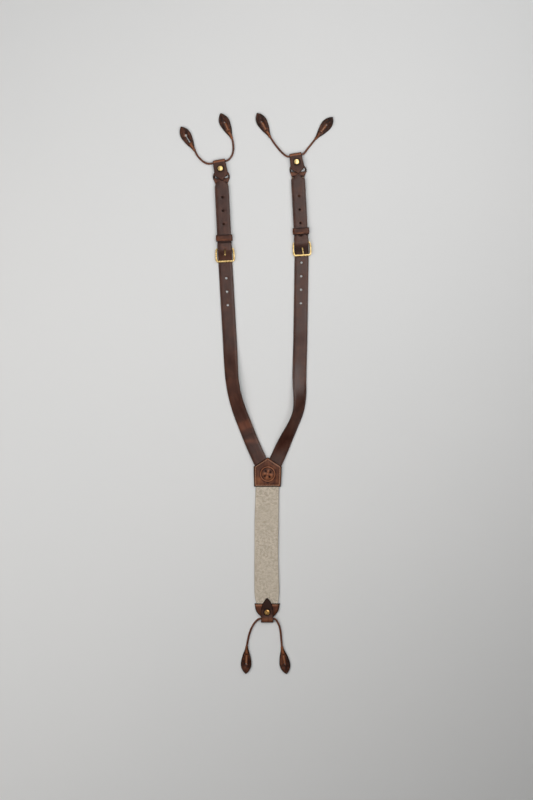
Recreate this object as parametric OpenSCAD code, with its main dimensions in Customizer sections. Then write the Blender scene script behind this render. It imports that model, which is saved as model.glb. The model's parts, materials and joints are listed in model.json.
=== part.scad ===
// Button-on suspenders with a Y-shaped back, laid out flat with their button tabs spread.
// The wearer's back is towards -Y and the front ends are towards +Y. Left and right are
// those of the layout seen from above, and the origin is under the middle of the whole.

/* [Shoulder straps] */
// Width of each leather shoulder strap
strap_w = 25; // [22:0.5:25.5]
// Thickness of the strap leather
strap_t = 2.4; // [1.8:0.1:2.6]
// Diameter of the adjusting holes
hole_d = 4; // [3:0.5:5]
// Spacing of the adjusting holes
hole_pitch = 24; // [20:1:26]
// Number of adjusting holes in each strap
hole_count = 8; // [5:1:8]

/* [Billets] */
// Width of the billet strap that lies under each shoulder strap
billet_w = 24; // [20:0.5:24]
// Thickness of the billet leather
billet_t = 1.8; // [1.6:0.1:2.2]
// Width of the swollen head round the billet's slot
head_w = 30; // [29:0.5:32]
// Length along the strap of the slot that the hanger passes through
slot_l = 7; // [7:0.5:9]

/* [Buckles] */
// Width of the buckle over its side arms
buckle_w = 33; // [32:0.5:36]
// Length from the hinge bar's centre to the front bar's centre
buckle_l = 21.6; // [20:0.2:24]
// Diameter of the frame wire
wire_d = 3; // [2.4:0.1:3.2]
// Diameter of the hinge bar
bar_d = 2.8; // [2.4:0.1:3]
// Diameter of the prong
prong_d = 2.2; // [1.8:0.1:2.4]
// Angle at which the left prong stands up out of its hole
left_prong_lift = 60; // [10:5:65]

/* [Keepers] */
// Length of the keeper loop along the strap
keeper_l = 11.5; // [8:0.5:12]
// Thickness of the keeper leather
keeper_t = 1.5; // [1.2:0.1:1.6]

/* [Hangers] */
// Width of the leather hanger that holds a rolled cord
hanger_w = 21; // [18:0.5:21]
// Thickness of the hanger leather
hanger_t = 1.4; // [1.2:0.1:1.5]
// Diameter of the screw heads
head_d = 10.4; // [8:0.2:11]

/* [Button tabs] */
// Diameter of the rolled leather cords
cord_d = 4; // [3:0.2:4]
// Length of a tab from the end of its cord to the tip
tab_l = 49.5; // [44:0.5:55]
// Largest width of a tab
tab_w = 19; // [16:0.5:22]
// Thickness of each of a tab's two leather layers
tab_t = 1.2; // [1:0.1:1.4]
// Diameter of the round end of a buttonhole
buttonhole_d = 4.2; // [3.6:0.2:5]
// Length of the slit between a buttonhole's round end and the cord
slit_l = 14.5; // [10:0.5:15]

/* [Yoke] */
// Width of the yoke patches
yoke_w = 49.5; // [48:0.5:54]
// Height of the yoke patches from their straight edge to the point
yoke_h = 52.5; // [48:0.5:56]
// Thickness of the yoke's front patch
yoke_front_t = 1.8; // [1.4:0.1:2.2]
// Thickness of the yoke's back patch
yoke_back_t = 1.6; // [1.4:0.1:1.8]
// Outer diameter of the plain embossed ring
ring_d = 27; // [20:1:30]

/* [Webbing] */
// Width of the elastic webbing
web_w = 46; // [44:0.5:46]
// Thickness of the elastic webbing
web_t = 1.5; // [1:0.1:1.6]

/* [Hidden] */
$fn = 48;

LEFT = 0;
RIGHT = 1;
REAR = 2;
e = 0.01;         // overshoot of a cut
fit = 0.05;       // radial play of metal on metal
play = 0.1;       // gap between layers, and radial play in a leather loop
clear = 0.3;      // gap between parts that move past each other

strap_leather = [0.27, 0.17, 0.13];
warm_leather = [0.38, 0.21, 0.14];
cord_leather = [0.42, 0.22, 0.16];
tab_leather = [0.22, 0.14, 0.11];
brass = [0.83, 0.66, 0.33];
web_colour = [0.68, 0.63, 0.56];
thread = [0.62, 0.47, 0.35];

// Front ends: the hinge bar's centre, how far the billet leans from +Y, and how far the
// strap below the buckle turns back from that lean
hinge_x = [-57.4, 78.9];
hinge_y = [257.4, 269.1];
lean = [2.7, 3];
kink = [-0.5, 3.9];
kink_u = -12;
fold_u = [-161.6, -173.2];       // where the strap folds over the shoulder
tip_u = 122.5;                   // tip of the shoulder strap
shoulder_u = 113.5;              // where the strap starts to narrow to its tip
first_hole_u = [91.9, 84.7];     // the hole nearest the tip
keeper_u = [19.9, 20.6];         // middle of the keeper
prong_lift = [left_prong_lift, 0];

// Heights of the layers at the front ends
loop_r = bar_d / 2 + play;
bar_z = billet_t + loop_r;
fold_top = bar_z + loop_r + billet_t;
billet_z = billet_t;
strap_z = billet_z + billet_t + play;
front_bar_z = strap_t + clear + wire_d / 2;
flap_u = 11.5;                   // end of the billet's turned-in flap
arm_x = (buckle_w - wire_d) / 2;
eye_r = bar_d / 2 + 1.5;
eye_w = 3.2;

// The slot in the billet's head, and the bridge beyond it that the hanger wraps
slot_u = 125.5;
slot_w = 24.6;
bridge_u = slot_u + slot_l;
head_u = 139;
pivot_u = 136;

// Hangers and end cap: their cord tunnel runs along X through v = 0 and is open at both ends
swing = [7.8, 6.5];              // how far each hanger has swivelled on its bridge
pivot_v = -19.5;
screw_v = -11.3;
tunnel_r = cord_d / 2 + play;
tunnel_z = hanger_t + tunnel_r;
return_z = 2 * billet_t + play + hanger_t / 2;
tongue_z = return_z + hanger_t + play;
slack = [1, 1, 3.5];             // how far the tunnel's fold stands off the cord
barrel_r = 2;
flange_r = 4.5;
flange_t = 0.7;

// Rear end
rear_x = 18;
rear_y = -399.7;
web_x = 18.2;
web_z = yoke_back_t + 0.05;
web_top = -153;
web_end = -384;
cap_z = web_z + web_t + play;
cap_top_v = -27.1;
cap_r = 21.5;
cap_v = -22.5;
neck_w = 21.8;
rear_tongue_z = cap_z + 1.5 * hanger_t + play;

// Yoke
yoke_x = 19;
yoke_y = -165;
yoke_side_h = 36;
yoke_z = yoke_back_t + strap_t + play;
web_step = 38;                   // width of the webbing's end inside the cap

// Routes of the rear straps from the shoulder fold to the yoke: X, Y, the height of the
// lower edge, and the roll, which lifts the edge on the inside of the bend
rear_routes = [
    [
        [-48.4, 95.7, 0, 0], [-46.6, 60, 0, -10], [-44.6, 28, 0, -21], [-40, 0, 0, -22],
        [-31.5, -29, 0, -13], [-18, -64, 0, -4], [-7.5, -90, 0.8, 0], [1.5, -110, 1.6, 0],
        [10, -129, 1.6, 0], [15, -140, 1.6, 0]
    ],
    [
        [77, 95, 0, 0], [76, 60, 0, 0], [75.4, 25, 0, 8], [76, -5, 0, 27],
        [73.3, -31, 0, 42], [65, -53, 0, 44], [52, -79, 0.2, 28], [44.3, -96, 0.9, 9],
        [39.5, -107, 1.5, 1], [34.5, -118, 1.6, 0], [24, -140, 1.6, 0]
    ]
];

// Routes of the rolled cords, from one tab through the tunnel to the other, in the frame
// of the hanger: across, along and height of the centreline
cord_routes = [
    [
        [-39, 28, 2], [-38, 24.5, 2], [-36.3, 19.5, 2], [-33.7, 14.4, 2], [-30.7, 9.8, 2],
        [-27.2, 5.8, 2.3], [-23, 2.4, 2.8], [-18.5, 0.4, 3.3], [-14, 0, 3.5], [-11, 0, 3.5],
        [11, 0, 3.5], [13.5, 0, 3.5], [16.7, 0.9, 3.3], [20.4, 3.2, 2.8], [23.9, 6.8, 2.3],
        [27, 11.9, 2], [29.3, 18.5, 2], [30.3, 25.5, 2], [30.6, 32.3, 2], [30.1, 37.3, 2]
    ],
    [
        [-39, 39.5, 2], [-37.5, 36.6, 2], [-35, 30.6, 2], [-31.5, 23.7, 2], [-27.2, 15.8, 2],
        [-24, 10.8, 2.2], [-21.2, 7, 2.6], [-18.3, 3.7, 3.1], [-15.6, 1.3, 3.4],
        [-13, 0, 3.5], [-11, 0, 3.5], [11, 0, 3.5], [13, 0, 3.5], [15.8, 1.3, 3.4],
        [18.8, 4.1, 3], [22.2, 7.5, 2.5], [26.8, 11.7, 2.1], [32, 16.4, 2], [37.3, 21.1, 2],
        [40, 23.5, 2]
    ],
    [
        [-26.3, 50, 2], [-25.6, 42.6, 2], [-24.8, 34.6, 2], [-24.1, 25.7, 2],
        [-22.8, 17.5, 2], [-20.8, 11, 2.3], [-18.2, 5.6, 2.9], [-15.4, 1.6, 3.4],
        [-13, 0, 3.5], [-11, 0, 3.5], [11, 0, 3.5], [13, 0, 3.5], [15.8, 1.1, 3.4],
        [19, 3.7, 3], [22.2, 7.4, 2.5], [25.4, 12.3, 2.1], [28.8, 19, 2], [31.7, 27, 2],
        [33.7, 35, 2], [35.3, 43.5, 2], [36.2, 49, 2]
    ]
];
// Directions of the tabs, from +Y of the hanger's frame: at the route's start and its end
tab_turn = [[19.4, 13.9], [19, -47.9], [9.6, -2.1]];

// ---------------------------------------------------------------- curves and skins

function unit(v) = v / norm(v);

// Points on a circle arc from angle a to angle b
function arc(centre, r, a, b, steps = 10) =
    [for (i = [0:steps]) let (t = a + (b - a) * i / steps) centre + r * [cos(t), sin(t)]];

// A band of leather of thickness t seen edge-on, along its centreline
function band_edge(line, i, t) =
    let (
        n = len(line) - 1,
        before = unit(line[max(i, 1)] - line[max(i, 1) - 1]),
        after = unit(line[min(i, n - 1) + 1] - line[min(i, n - 1)]),
        normal = unit([-before[1] - after[1], before[0] + after[0]])
    )
    line[i] + normal * t / 2 / (normal * [-before[1], before[0]]);
function band(line, t) = concat(
    [for (i = [0:len(line) - 1]) band_edge(line, i, t)],
    [for (i = [len(line) - 1:-1:0]) band_edge(line, i, -t)]
);

// A leather band given by its centreline in the plane of Y and Z, w wide along X
module strip(line, t, w) {
    rotate([90, 0, 90])
        linear_extrude(w, center = true)
            polygon(band(line, t));
}

// A smooth curve through a route's rows, with some rows between each two of them
function between(a, b, c, d, t) =
    0.5 * (2 * b + t * (c - a) + t * t * (2 * a - 5 * b + 4 * c - d)
    + t * t * t * (3 * b - a - 3 * c + d));
function smooth(route, steps) =
    let (n = len(route) - 1)
    concat(
        [for (i = [0:n - 1]) for (k = [0:steps - 1])
            between(route[max(i - 1, 0)], route[i], route[i + 1], route[min(i + 2, n)], k / steps)],
        [route[n]]
    );

function along(points, i) =
    unit(points[min(i + 1, len(points) - 1)] - points[max(i - 1, 0)]);
function level_side(forward) = unit([forward[1], -forward[0], 0]);

// A closed skin over rings of the same number of points
module skin(rings) {
    n = len(rings[0]);
    last = len(rings) - 1;
    polyhedron(
        [for (ring = rings) each ring],
        concat(
            [[for (k = [n - 1:-1:0]) k]],
            [for (i = [0:last - 1]) for (k = [0:n - 1]) each [
                [i * n + k, i * n + (k + 1) % n, (i + 1) * n + k],
                [i * n + (k + 1) % n, (i + 1) * n + (k + 1) % n, (i + 1) * n + k]
            ]],
            [[for (k = [0:n - 1]) last * n + k]]
        )
    );
}

// A flat strap along rows of X, Y, height of its lower edge and roll
module ribbon(rows, w, t) {
    mid = [for (r = rows)
        [r[0], r[1], r[2] + w / 2 * sin(abs(r[3])) + t / 2 * cos(r[3])]];
    skin([for (i = [0:len(rows) - 1])
        let (
            forward = along(mid, i),
            side = level_side(forward),
            up = cross(side, forward),
            roll = rows[i][3],
            half_w = w / 2 * (side * cos(roll) + up * sin(roll)),
            half_t = t / 2 * (up * cos(roll) - side * sin(roll))
        )
        [mid[i] - half_w - half_t, mid[i] + half_w - half_t,
         mid[i] + half_w + half_t, mid[i] - half_w + half_t]]);
}

// A round cord along a route
module tube(route, d, sides = 10) {
    skin([for (i = [0:len(route) - 1])
        let (
            forward = along(route, i),
            side = level_side(forward),
            up = cross(side, forward)
        )
        [for (k = [0:sides - 1])
            route[i] + d / 2 * (cos(360 * k / sides) * side + sin(360 * k / sides) * up)]]);
}

module rounded_rect(w, h, r) {
    square([w - 2 * r, h], center = true);
    square([w, h - 2 * r], center = true);
    for (x = [-1, 1], y = [-1, 1])
        translate([x * (w / 2 - r), y * (h / 2 - r)])
            circle(r);
}

// A row of thread stitches standing on the plane z = 0
module stitches(from, to, count, l = 2.2, w = 0.8) {
    run = to - from;
    for (i = [0:count - 1])
        translate(concat(from + run * (i + 0.5) / count, [0.15]))
            rotate([0, 0, atan2(run[1], run[0])])
                cube([l, w, 0.3], center = true);
}

// ---------------------------------------------------------------- frames

// At a front end's hinge bar, with Y along the billet
module front_frame(k) {
    translate([hinge_x[k], hinge_y[k], 0])
        rotate([0, 0, lean[k]])
            children();
}

// At a cord tunnel, with Y towards the tabs
module tunnel_frame(k) {
    if (k == REAR)
        translate([rear_x, rear_y, 0])
            rotate([0, 0, 180])
                children();
    else
        front_frame(k)
            translate([0, pivot_u, 0])
                rotate([0, 0, swing[k]])
                    translate([0, -pivot_v, 0])
                        children();
}

// At the base of a tab, end 0 being the start of its cord's route, with Y towards the tip
module tab_frame(k, end) {
    base = end == 0 ? cord_routes[k][0] : cord_routes[k][len(cord_routes[k]) - 1];
    tunnel_frame(k)
        translate([base[0], base[1], 0])
            rotate([0, 0, tab_turn[k][end]])
                children();
}

// ---------------------------------------------------------------- straps and billets

module rear_strap(k) {
    color(strap_leather)
        intersection() {
            ribbon(smooth(rear_routes[k], 4), strap_w, strap_t);
            translate([k == LEFT ? yoke_x - play - 150 : yoke_x + play, -150, -1])
                cube([150, 400, 40]);
        }
}

// Sideways offset of the strap below the buckle
function kinked(k, u) = u < kink_u ? (u - kink_u) * tan(kink[k]) : 0;

module front_strap(k) {
    low = [[fold_u[k] + 0.15, 0], [-60, 0], [-22, 0], [-19.5, 0.15]];
    high = [
        [-17, 0.9], [-3, fold_top - 0.4], [0, fold_top + play], [3, fold_top - 0.05],
        [11, strap_z + 0.1], [14, strap_z], [shoulder_u, strap_z]
    ];
    rows = [for (p = concat(low, high)) [kinked(k, p[0]), p[0], p[1], 0]];
    color(strap_leather)
        front_frame(k) {
            difference() {
                ribbon(rows, strap_w, strap_t);
                for (i = [0:hole_count - 1])
                    translate([kinked(k, first_hole_u[k] - i * hole_pitch),
                            first_hole_u[k] - i * hole_pitch, -e])
                        cylinder(h = fold_top + 5, d = hole_d);
                prong_slot(-15, 2, prong_d + 1.2);
            }
            translate([0, 0, strap_z])
                linear_extrude(strap_t)
                    strap_tip();
        }
}

module strap_tip() {
    side = [strap_w / 2, shoulder_u];
    polygon(concat(
        [[-side[0], side[1]], side],
        arc([0, tip_u - 2.5], 2.5, 40, 140)
    ));
}

// Room for the prong between two places along the strap
module prong_slot(from, to, w) {
    translate([-w / 2, from, 0.2])
        cube([w, to - from, fold_top + 4]);
}

module billet(k) {
    line = concat(
        [[flap_u, billet_t / 2]],
        arc([0, bar_z], loop_r + billet_t / 2, 270, 90, 12),
        [[2, fold_top - billet_t / 2 - 0.1], [flap_u - 1.5, 1.55 * billet_t],
         [flap_u + 1, 1.5 * billet_t], [head_u, 1.5 * billet_t]]
    );
    color(warm_leather)
        front_frame(k)
            difference() {
                intersection() {
                    strip(line, billet_t, head_w + 2);
                    linear_extrude(fold_top + 1)
                        billet_outline();
                }
                translate([-slot_w / 2, slot_u, -e])
                    cube([slot_w, slot_l, 2 * billet_t + 1]);
                prong_slot(-loop_r - billet_t - 1, eye_r + 0.7, eye_w + 0.6);
                translate([-eye_w / 2 - 0.3, -eye_r, -e])
                    cube([eye_w + 0.6, 2 * eye_r + 0.7, 1]);
            }
}

module billet_outline() {
    half = [
        [billet_w / 2, -6], [billet_w / 2, 111], [billet_w / 2 - 0.8, 116],
        [head_w / 2 - 2, 121], [head_w / 2, 126], [head_w / 2, 131],
        [head_w / 2 - 1.6, 135.5], [head_w / 2 - 4.5, head_u]
    ];
    polygon(concat(half, [for (i = [len(half) - 1:-1:0]) [-half[i][0], half[i][1]]]));
}

module bar_stitches(k) {
    color(thread)
        front_frame(k)
            translate([0, 0, 2 * billet_t + e])
                for (x = [-1, 1])
                    stitches([x * 10.6, 117.8], [x * 8.2, 117.8], 1);
}

module keeper(k) {
    inner_w = strap_w + 1.4;
    inner_h = strap_z + strap_t + clear - keeper_t;
    mid_z = keeper_t + inner_h / 2;
    color(warm_leather)
        front_frame(k)
            translate([0, keeper_u[k], mid_z])
                rotate([90, 0, 0])
                    linear_extrude(keeper_l, center = true)
                        difference() {
                            rounded_rect(inner_w + 2 * keeper_t, inner_h + 2 * keeper_t, 1.6);
                            rounded_rect(inner_w, inner_h, 0.5);
                        }
}

// ---------------------------------------------------------------- buckles

module rod(from, to, d) {
    run = to - from;
    translate(from)
        rotate([0, acos(run[2] / norm(run)), atan2(run[1], run[0])])
            cylinder(h = norm(run), d = d);
}

module buckle_frame(k) {
    arm_d = wire_d + 0.2;
    drop = (front_bar_z - bar_z) / buckle_l;
    color(brass)
        front_frame(k) {
            rod([-arm_x, 0, bar_z], [arm_x, 0, bar_z], bar_d);
            rod([-arm_x, -buckle_l, front_bar_z], [arm_x, -buckle_l, front_bar_z], wire_d);
            for (x = [-arm_x, arm_x])
                rod([x, 1.6, bar_z - 1.6 * drop],
                    [x, -buckle_l - 1.6, front_bar_z + 1.6 * drop], arm_d);
        }
}

// Angle above level at which a prong rests on the front bar
rest_z = front_bar_z + (wire_d + prong_d) / 2 + clear;
prong_rest = atan((rest_z - bar_z) / buckle_l);
prong_l = buckle_l + 2.2;

module buckle_prong(k) {
    angle = prong_lift[k] > 0 ? prong_lift[k] : prong_rest;
    color(brass)
        front_frame(k)
            translate([0, 0, bar_z])
                difference() {
                    union() {
                        rotate([0, 90, 0])
                            cylinder(h = eye_w, r = eye_r, center = true);
                        rotate([90 - angle, 0, 0]) {
                            cylinder(h = prong_l, d = prong_d);
                            translate([0, 0, prong_l])
                                sphere(d = prong_d);
                        }
                    }
                    rotate([0, 90, 0])
                        cylinder(h = eye_w + 2, d = bar_d + 2 * fit, center = true);
                }
}

// ---------------------------------------------------------------- hangers and their screws

module hanger(k) {
    loop_v = -24.5;
    turn_v = -8.9;
    under_z = return_z - 1.85;
    line = concat(
        [[-14.2, under_z]],
        arc([turn_v, (return_z + under_z) / 2], (return_z - under_z) / 2, -90, 90, 6),
        arc([loop_v, (return_z + hanger_t / 2) / 2], (return_z - hanger_t / 2) / 2, 90, 270, 8),
        arc([slack[k], tunnel_z], tunnel_r + hanger_t / 2, -90, 90, 12),
        [[-3, tongue_z + 0.15], [-5.8, tongue_z], [-32, tongue_z]]
    );
    color(warm_leather)
        tunnel_frame(k)
            difference() {
                strip(line, hanger_t, hanger_w);
                for (s = [-1, 1])
                    tongue_corner(s);
                for (s = [-1, 1])
                    translate([s * hanger_w / 2 - 0.7, -32, -e])
                        cube([1.4, 14, tongue_z - hanger_t / 2 - play / 2]);
                translate([0, screw_v, -e])
                    cylinder(h = tongue_z + 5, r = barrel_r + play);
                translate([0, screw_v, -e])
                    cylinder(h = flange_t + play, r = flange_r + play);
            }
}

// What is cut from a tongue on one side to leave its pointed end
module tongue_corner(s) {
    translate([0, 0, tongue_z - hanger_t / 2 - play / 2])
        linear_extrude(10)
            polygon([[s * 1.2, -32.2], [s * (hanger_w / 2 + 1), -22.5],
                     [s * (hanger_w / 2 + 1), -33], [s * 1.2, -33]]);
}

function seat_z(k) = k == REAR ? rear_tongue_z + hanger_t / 2 : tongue_z + hanger_t / 2;

module screw_cap(k) {
    dome_h = 1.5;
    color(brass)
        tunnel_frame(k)
            translate([0, screw_v, seat_z(k) + e])
                difference() {
                    union() {
                        rotate_extrude()
                            polygon([
                                [0, 0], [head_d / 2, 0], [head_d / 2, 0.5],
                                [head_d / 2 - 0.6, 1.1], [head_d / 2 - 1.8, dome_h],
                                [0, dome_h]
                            ]);
                        translate([0, 0, -4])
                            cylinder(h = 4.5, r = 1.2);
                    }
                    translate([0, 0, dome_h - 0.5])
                        cylinder(h = 1, r = 1.6);
                }
}

module screw_post(k) {
    color(brass)
        tunnel_frame(k)
            translate([0, screw_v, 0])
                difference() {
                    union() {
                        cylinder(h = flange_t, r = flange_r);
                        cylinder(h = seat_z(k) - e, r = barrel_r);
                    }
                    translate([0, 0, seat_z(k) - 4.5])
                        cylinder(h = 5, r = 1.2 + fit);
                }
}

// ---------------------------------------------------------------- cords and tabs

module rolled_cord(k) {
    color(cord_leather)
        tunnel_frame(k)
            tube(cord_routes[k], cord_d);
}

// A leaf between two arcs, with a neck where it meets its cord
module leaf() {
    r = (tab_l * tab_l + tab_w * tab_w) / (4 * tab_w);
    translate([0, tab_l / 2])
        intersection() {
            translate([r - tab_w / 2, 0])
                circle(r, $fn = 96);
            translate([tab_w / 2 - r, 0])
                circle(r, $fn = 96);
        }
    translate([-2.4, 0])
        square([4.8, 5]);
}

module keyhole(h) {
    hole_y = tab_l - 18;
    translate([0, hole_y, -e])
        cylinder(h = h + 2 * e, d = buttonhole_d);
    translate([-0.7, hole_y - slit_l, -e])
        cube([1.4, slit_l, h + 2 * e]);
}

module tab(k, end) {
    color(tab_leather)
        tab_frame(k, end)
            translate([0, 0, tab_t])
                difference() {
                    union() {
                        linear_extrude(tab_t)
                            leaf();
                        intersection() {
                            translate([0, 0, cord_d / 2 - tab_t]) {
                                rotate([-90, 0, 0])
                                    cylinder(h = 11, d = cord_d);
                                translate([0, 11, 0])
                                    sphere(d = cord_d);
                            }
                            translate([-5, 0, 0])
                                cube([10, 20, 5]);
                        }
                    }
                    keyhole(tab_t);
                }
}

module tab_lining(k, end) {
    color(warm_leather)
        tab_frame(k, end)
            difference() {
                linear_extrude(tab_t)
                    leaf();
                keyhole(tab_t);
            }
}

// ---------------------------------------------------------------- yoke

module yoke_outline() {
    half_w = yoke_w / 2;
    polygon([
        [-half_w + 0.7, 0], [half_w - 0.7, 0], [half_w, yoke_side_h - 1],
        [half_w - 1, yoke_side_h], [1.5, yoke_h], [-1.5, yoke_h],
        [1 - half_w, yoke_side_h], [-half_w, yoke_side_h - 1]
    ]);
}

module yoke_frame() {
    translate([yoke_x, yoke_y, 0])
        children();
}

module yoke_front_patch() {
    ring_y = 22.5;
    color(warm_leather)
        yoke_frame()
            translate([0, 0, yoke_z])
                difference() {
                    linear_extrude(yoke_front_t)
                        yoke_outline();
                    for (d = [ring_d, ring_d - 8])
                        translate([0, ring_y, yoke_front_t - 0.3])
                            difference() {
                                cylinder(h = 1, d = d);
                                translate([0, 0, -e])
                                    cylinder(h = 2, d = d - 2.4);
                            }
                }
}

module yoke_back_patch() {
    color(warm_leather)
        yoke_frame()
            linear_extrude(yoke_back_t)
                yoke_outline();
}

module yoke_stitching() {
    inset = 3;
    x = yoke_w / 2 - inset;
    top = yoke_side_h - 1.5;
    color(thread)
        yoke_frame()
            translate([0, 0, yoke_z + yoke_front_t + e]) {
                stitches([-x, 2.2], [x, 2.2], 13);
                for (s = [-1, 1]) {
                    stitches([s * x, 3.5], [s * x, top], 9);
                    stitches([s * x, top], [s * 1, yoke_h - inset - 0.5], 8);
                }
            }
}

// ---------------------------------------------------------------- webbing and end cap

module elastic_webbing() {
    cap_top = rear_y - cap_top_v;
    color(web_colour)
        translate([web_x, 0, web_z]) {
            translate([-web_w / 2, cap_top, 0])
                cube([web_w, web_top - cap_top, web_t]);
            translate([-web_step / 2, web_end, 0])
                cube([web_step, cap_top - web_end, web_t]);
        }
}

// Outline of the end cap in its tunnel's frame: straight across the webbing, round below
module cap_outline() {
    intersection() {
        translate([0, cap_v])
            circle(cap_r, $fn = 96);
        translate([-cap_r, cap_v])
            square([2 * cap_r, 2 * cap_r]);
    }
    polygon([
        [-cap_r - 0.7, cap_top_v], [cap_r + 0.7, cap_top_v], [cap_r, cap_v], [-cap_r, cap_v]
    ]);
}

module end_cap_front() {
    color(warm_leather)
        tunnel_frame(REAR)
            translate([0, 0, cap_z])
                difference() {
                    linear_extrude(hanger_t)
                        cap_outline();
                    translate([0, screw_v, -e])
                        cylinder(h = hanger_t + 1, r = barrel_r + play);
                    translate([-cap_r, -4.2, -e])
                        cube([2 * cap_r, 10, hanger_t + 1]);
                }
}

module end_cap_back() {
    fold_v = slack[REAR];
    line = concat(
        [[-6, hanger_t / 2]],
        arc([fold_v, tunnel_z], tunnel_r + hanger_t / 2, -90, 90, 12),
        [[-1.5, tunnel_z + tunnel_r + 0.65], [-5.6, rear_tongue_z], [-37.1, rear_tongue_z]]
    );
    color(warm_leather)
        tunnel_frame(REAR)
            difference() {
                union() {
                    linear_extrude(hanger_t)
                        cap_outline();
                    intersection() {
                        strip(line, hanger_t, neck_w);
                        linear_extrude(12)
                            polygon([
                                [-neck_w / 2, 12], [neck_w / 2, 12], [neck_w / 2, -15],
                                [8.3, -26], [1.2, -37], [-1.2, -37], [-8.3, -26],
                                [-neck_w / 2, -15]
                            ]);
                    }
                }
                translate([0, screw_v, -e])
                    cylinder(h = 12, r = barrel_r + play);
                translate([0, screw_v, -e])
                    cylinder(h = flange_t + play, r = flange_r + play);
            }
}

module end_cap_stitching() {
    color(thread)
        tunnel_frame(REAR)
            translate([0, 0, cap_z + hanger_t + e])
                for (s = [-1, 1])
                    stitches([s * 20, -24.5], [s * 10.5, -24.5], 3);
}

// ---------------------------------------------------------------- the parts

yoke_front_patch();
yoke_back_patch();
yoke_stitching();
elastic_webbing();
rear_strap(LEFT);  // left_rear_strap
rear_strap(RIGHT);  // right_rear_strap
front_strap(LEFT);  // left_front_strap
billet(LEFT);  // left_billet
bar_stitches(LEFT);  // left_bar_stitches
keeper(LEFT);  // left_keeper
buckle_frame(LEFT);  // left_buckle_frame
buckle_prong(LEFT);  // left_buckle_prong
hanger(LEFT);  // left_hanger
screw_cap(LEFT);  // left_screw_cap
screw_post(LEFT);  // left_screw_post
rolled_cord(LEFT);  // left_rolled_cord
tab(LEFT, 0);  // left_outer_tab
tab_lining(LEFT, 0);  // left_outer_tab_lining
tab(LEFT, 1);  // left_inner_tab
tab_lining(LEFT, 1);  // left_inner_tab_lining
front_strap(RIGHT);  // right_front_strap
billet(RIGHT);  // right_billet
bar_stitches(RIGHT);  // right_bar_stitches
keeper(RIGHT);  // right_keeper
buckle_frame(RIGHT);  // right_buckle_frame
buckle_prong(RIGHT);  // right_buckle_prong
hanger(RIGHT);  // right_hanger
screw_cap(RIGHT);  // right_screw_cap
screw_post(RIGHT);  // right_screw_post
rolled_cord(RIGHT);  // right_rolled_cord
tab(RIGHT, 1);  // right_outer_tab
tab_lining(RIGHT, 1);  // right_outer_tab_lining
tab(RIGHT, 0);  // right_inner_tab
tab_lining(RIGHT, 0);  // right_inner_tab_lining
end_cap_front();
end_cap_back();
end_cap_stitching();
screw_cap(REAR);  // rear_screw_cap
screw_post(REAR);  // rear_screw_post
rolled_cord(REAR);  // rear_rolled_cord
tab(REAR, 1);  // rear_left_tab
tab_lining(REAR, 1);  // rear_left_tab_lining
tab(REAR, 0);  // rear_right_tab
tab_lining(REAR, 0);  // rear_right_tab_lining
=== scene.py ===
import json
import math

import bmesh
import bpy
import numpy as np
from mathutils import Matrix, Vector
from mathutils.geometry import delaunay_2d_cdt


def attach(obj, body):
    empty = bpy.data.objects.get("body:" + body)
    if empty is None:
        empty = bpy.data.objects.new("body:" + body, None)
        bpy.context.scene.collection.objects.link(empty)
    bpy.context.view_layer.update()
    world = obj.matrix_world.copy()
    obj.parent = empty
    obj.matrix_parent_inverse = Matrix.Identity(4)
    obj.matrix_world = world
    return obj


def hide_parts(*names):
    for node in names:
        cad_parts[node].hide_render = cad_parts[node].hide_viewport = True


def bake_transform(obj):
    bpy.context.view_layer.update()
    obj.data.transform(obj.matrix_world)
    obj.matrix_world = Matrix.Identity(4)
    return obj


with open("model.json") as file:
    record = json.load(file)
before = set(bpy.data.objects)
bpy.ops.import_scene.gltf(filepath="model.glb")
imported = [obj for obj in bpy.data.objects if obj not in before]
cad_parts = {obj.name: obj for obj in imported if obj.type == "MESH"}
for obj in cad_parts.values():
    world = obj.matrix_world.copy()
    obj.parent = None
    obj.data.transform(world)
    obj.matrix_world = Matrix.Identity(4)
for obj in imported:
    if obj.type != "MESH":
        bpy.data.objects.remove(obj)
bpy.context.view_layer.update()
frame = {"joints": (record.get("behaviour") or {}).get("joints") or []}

# Lengths below are in millimetres, as in the part's source, and become metres in build().
MM = 0.001
SIDES = ("left", "right")
STRAP_W, STRAP_T = 25.0, 2.4
BILLET_T, HANGER_T, TAB_T = 1.8, 1.4, 1.2
CORD_R = 1.75
TAB_L = 49.5
BAR_Z, FRONT_BAR_Z, BUCKLE_L = 3.3, 4.25, 21.6
FOLD_TOP, STRAP_Z = 6.6, 3.7
CENTRE_X = 19.0
# u is the place along a front end, from the buckle's hinge bar towards the strap's tip
TIP_U = 122.5
FIRST_HOLE_U = (92.5, 84.7)
HOLE_SHIFT = (0.0, -1.8)
HOLE_PITCH = 24.0
KINK = (-0.5, 3.9)
KINK_U = -12.0
FOLD_U = (-161.6, -173.2)
KEEPER_U = (19.9, 20.6)
PRONG_ANGLE = (60.0, 10.1)
# v is the same from the cord's tunnel
SCREW_V = -11.3
SCREW_CAP_SIZE = 0.92
TUNNEL_Z = 3.5
SEAT_Z = (6.6, 6.6, 6.15)

# x, y, z and roll in degrees down each strap behind its fold
REAR_ROUTES = (
    ((-48.4, 95.7, 0, 0), (-46.6, 60, 0, -10), (-44.6, 28, 0, -21), (-40, 0, 0, -22),
     (-31.5, -29, 0, -13), (-18, -64, 0, -4), (-7.5, -90, 0.8, 0), (1.5, -110, 1.6, 0),
     (10, -129, 1.6, 0), (15, -140, 1.6, 0)),
    ((77, 95, 0, 0), (76, 60, 0, 0), (75.4, 25, 0, 8), (76, -5, 0, 27), (73.3, -31, 0, 42),
     (65, -53, 0, 44), (52, -79, 0.2, 28), (44.3, -96, 0.9, 9), (39.5, -107, 1.5, 1),
     (34.5, -118, 1.6, 0), (24, -140, 1.6, 0)),
)
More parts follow.
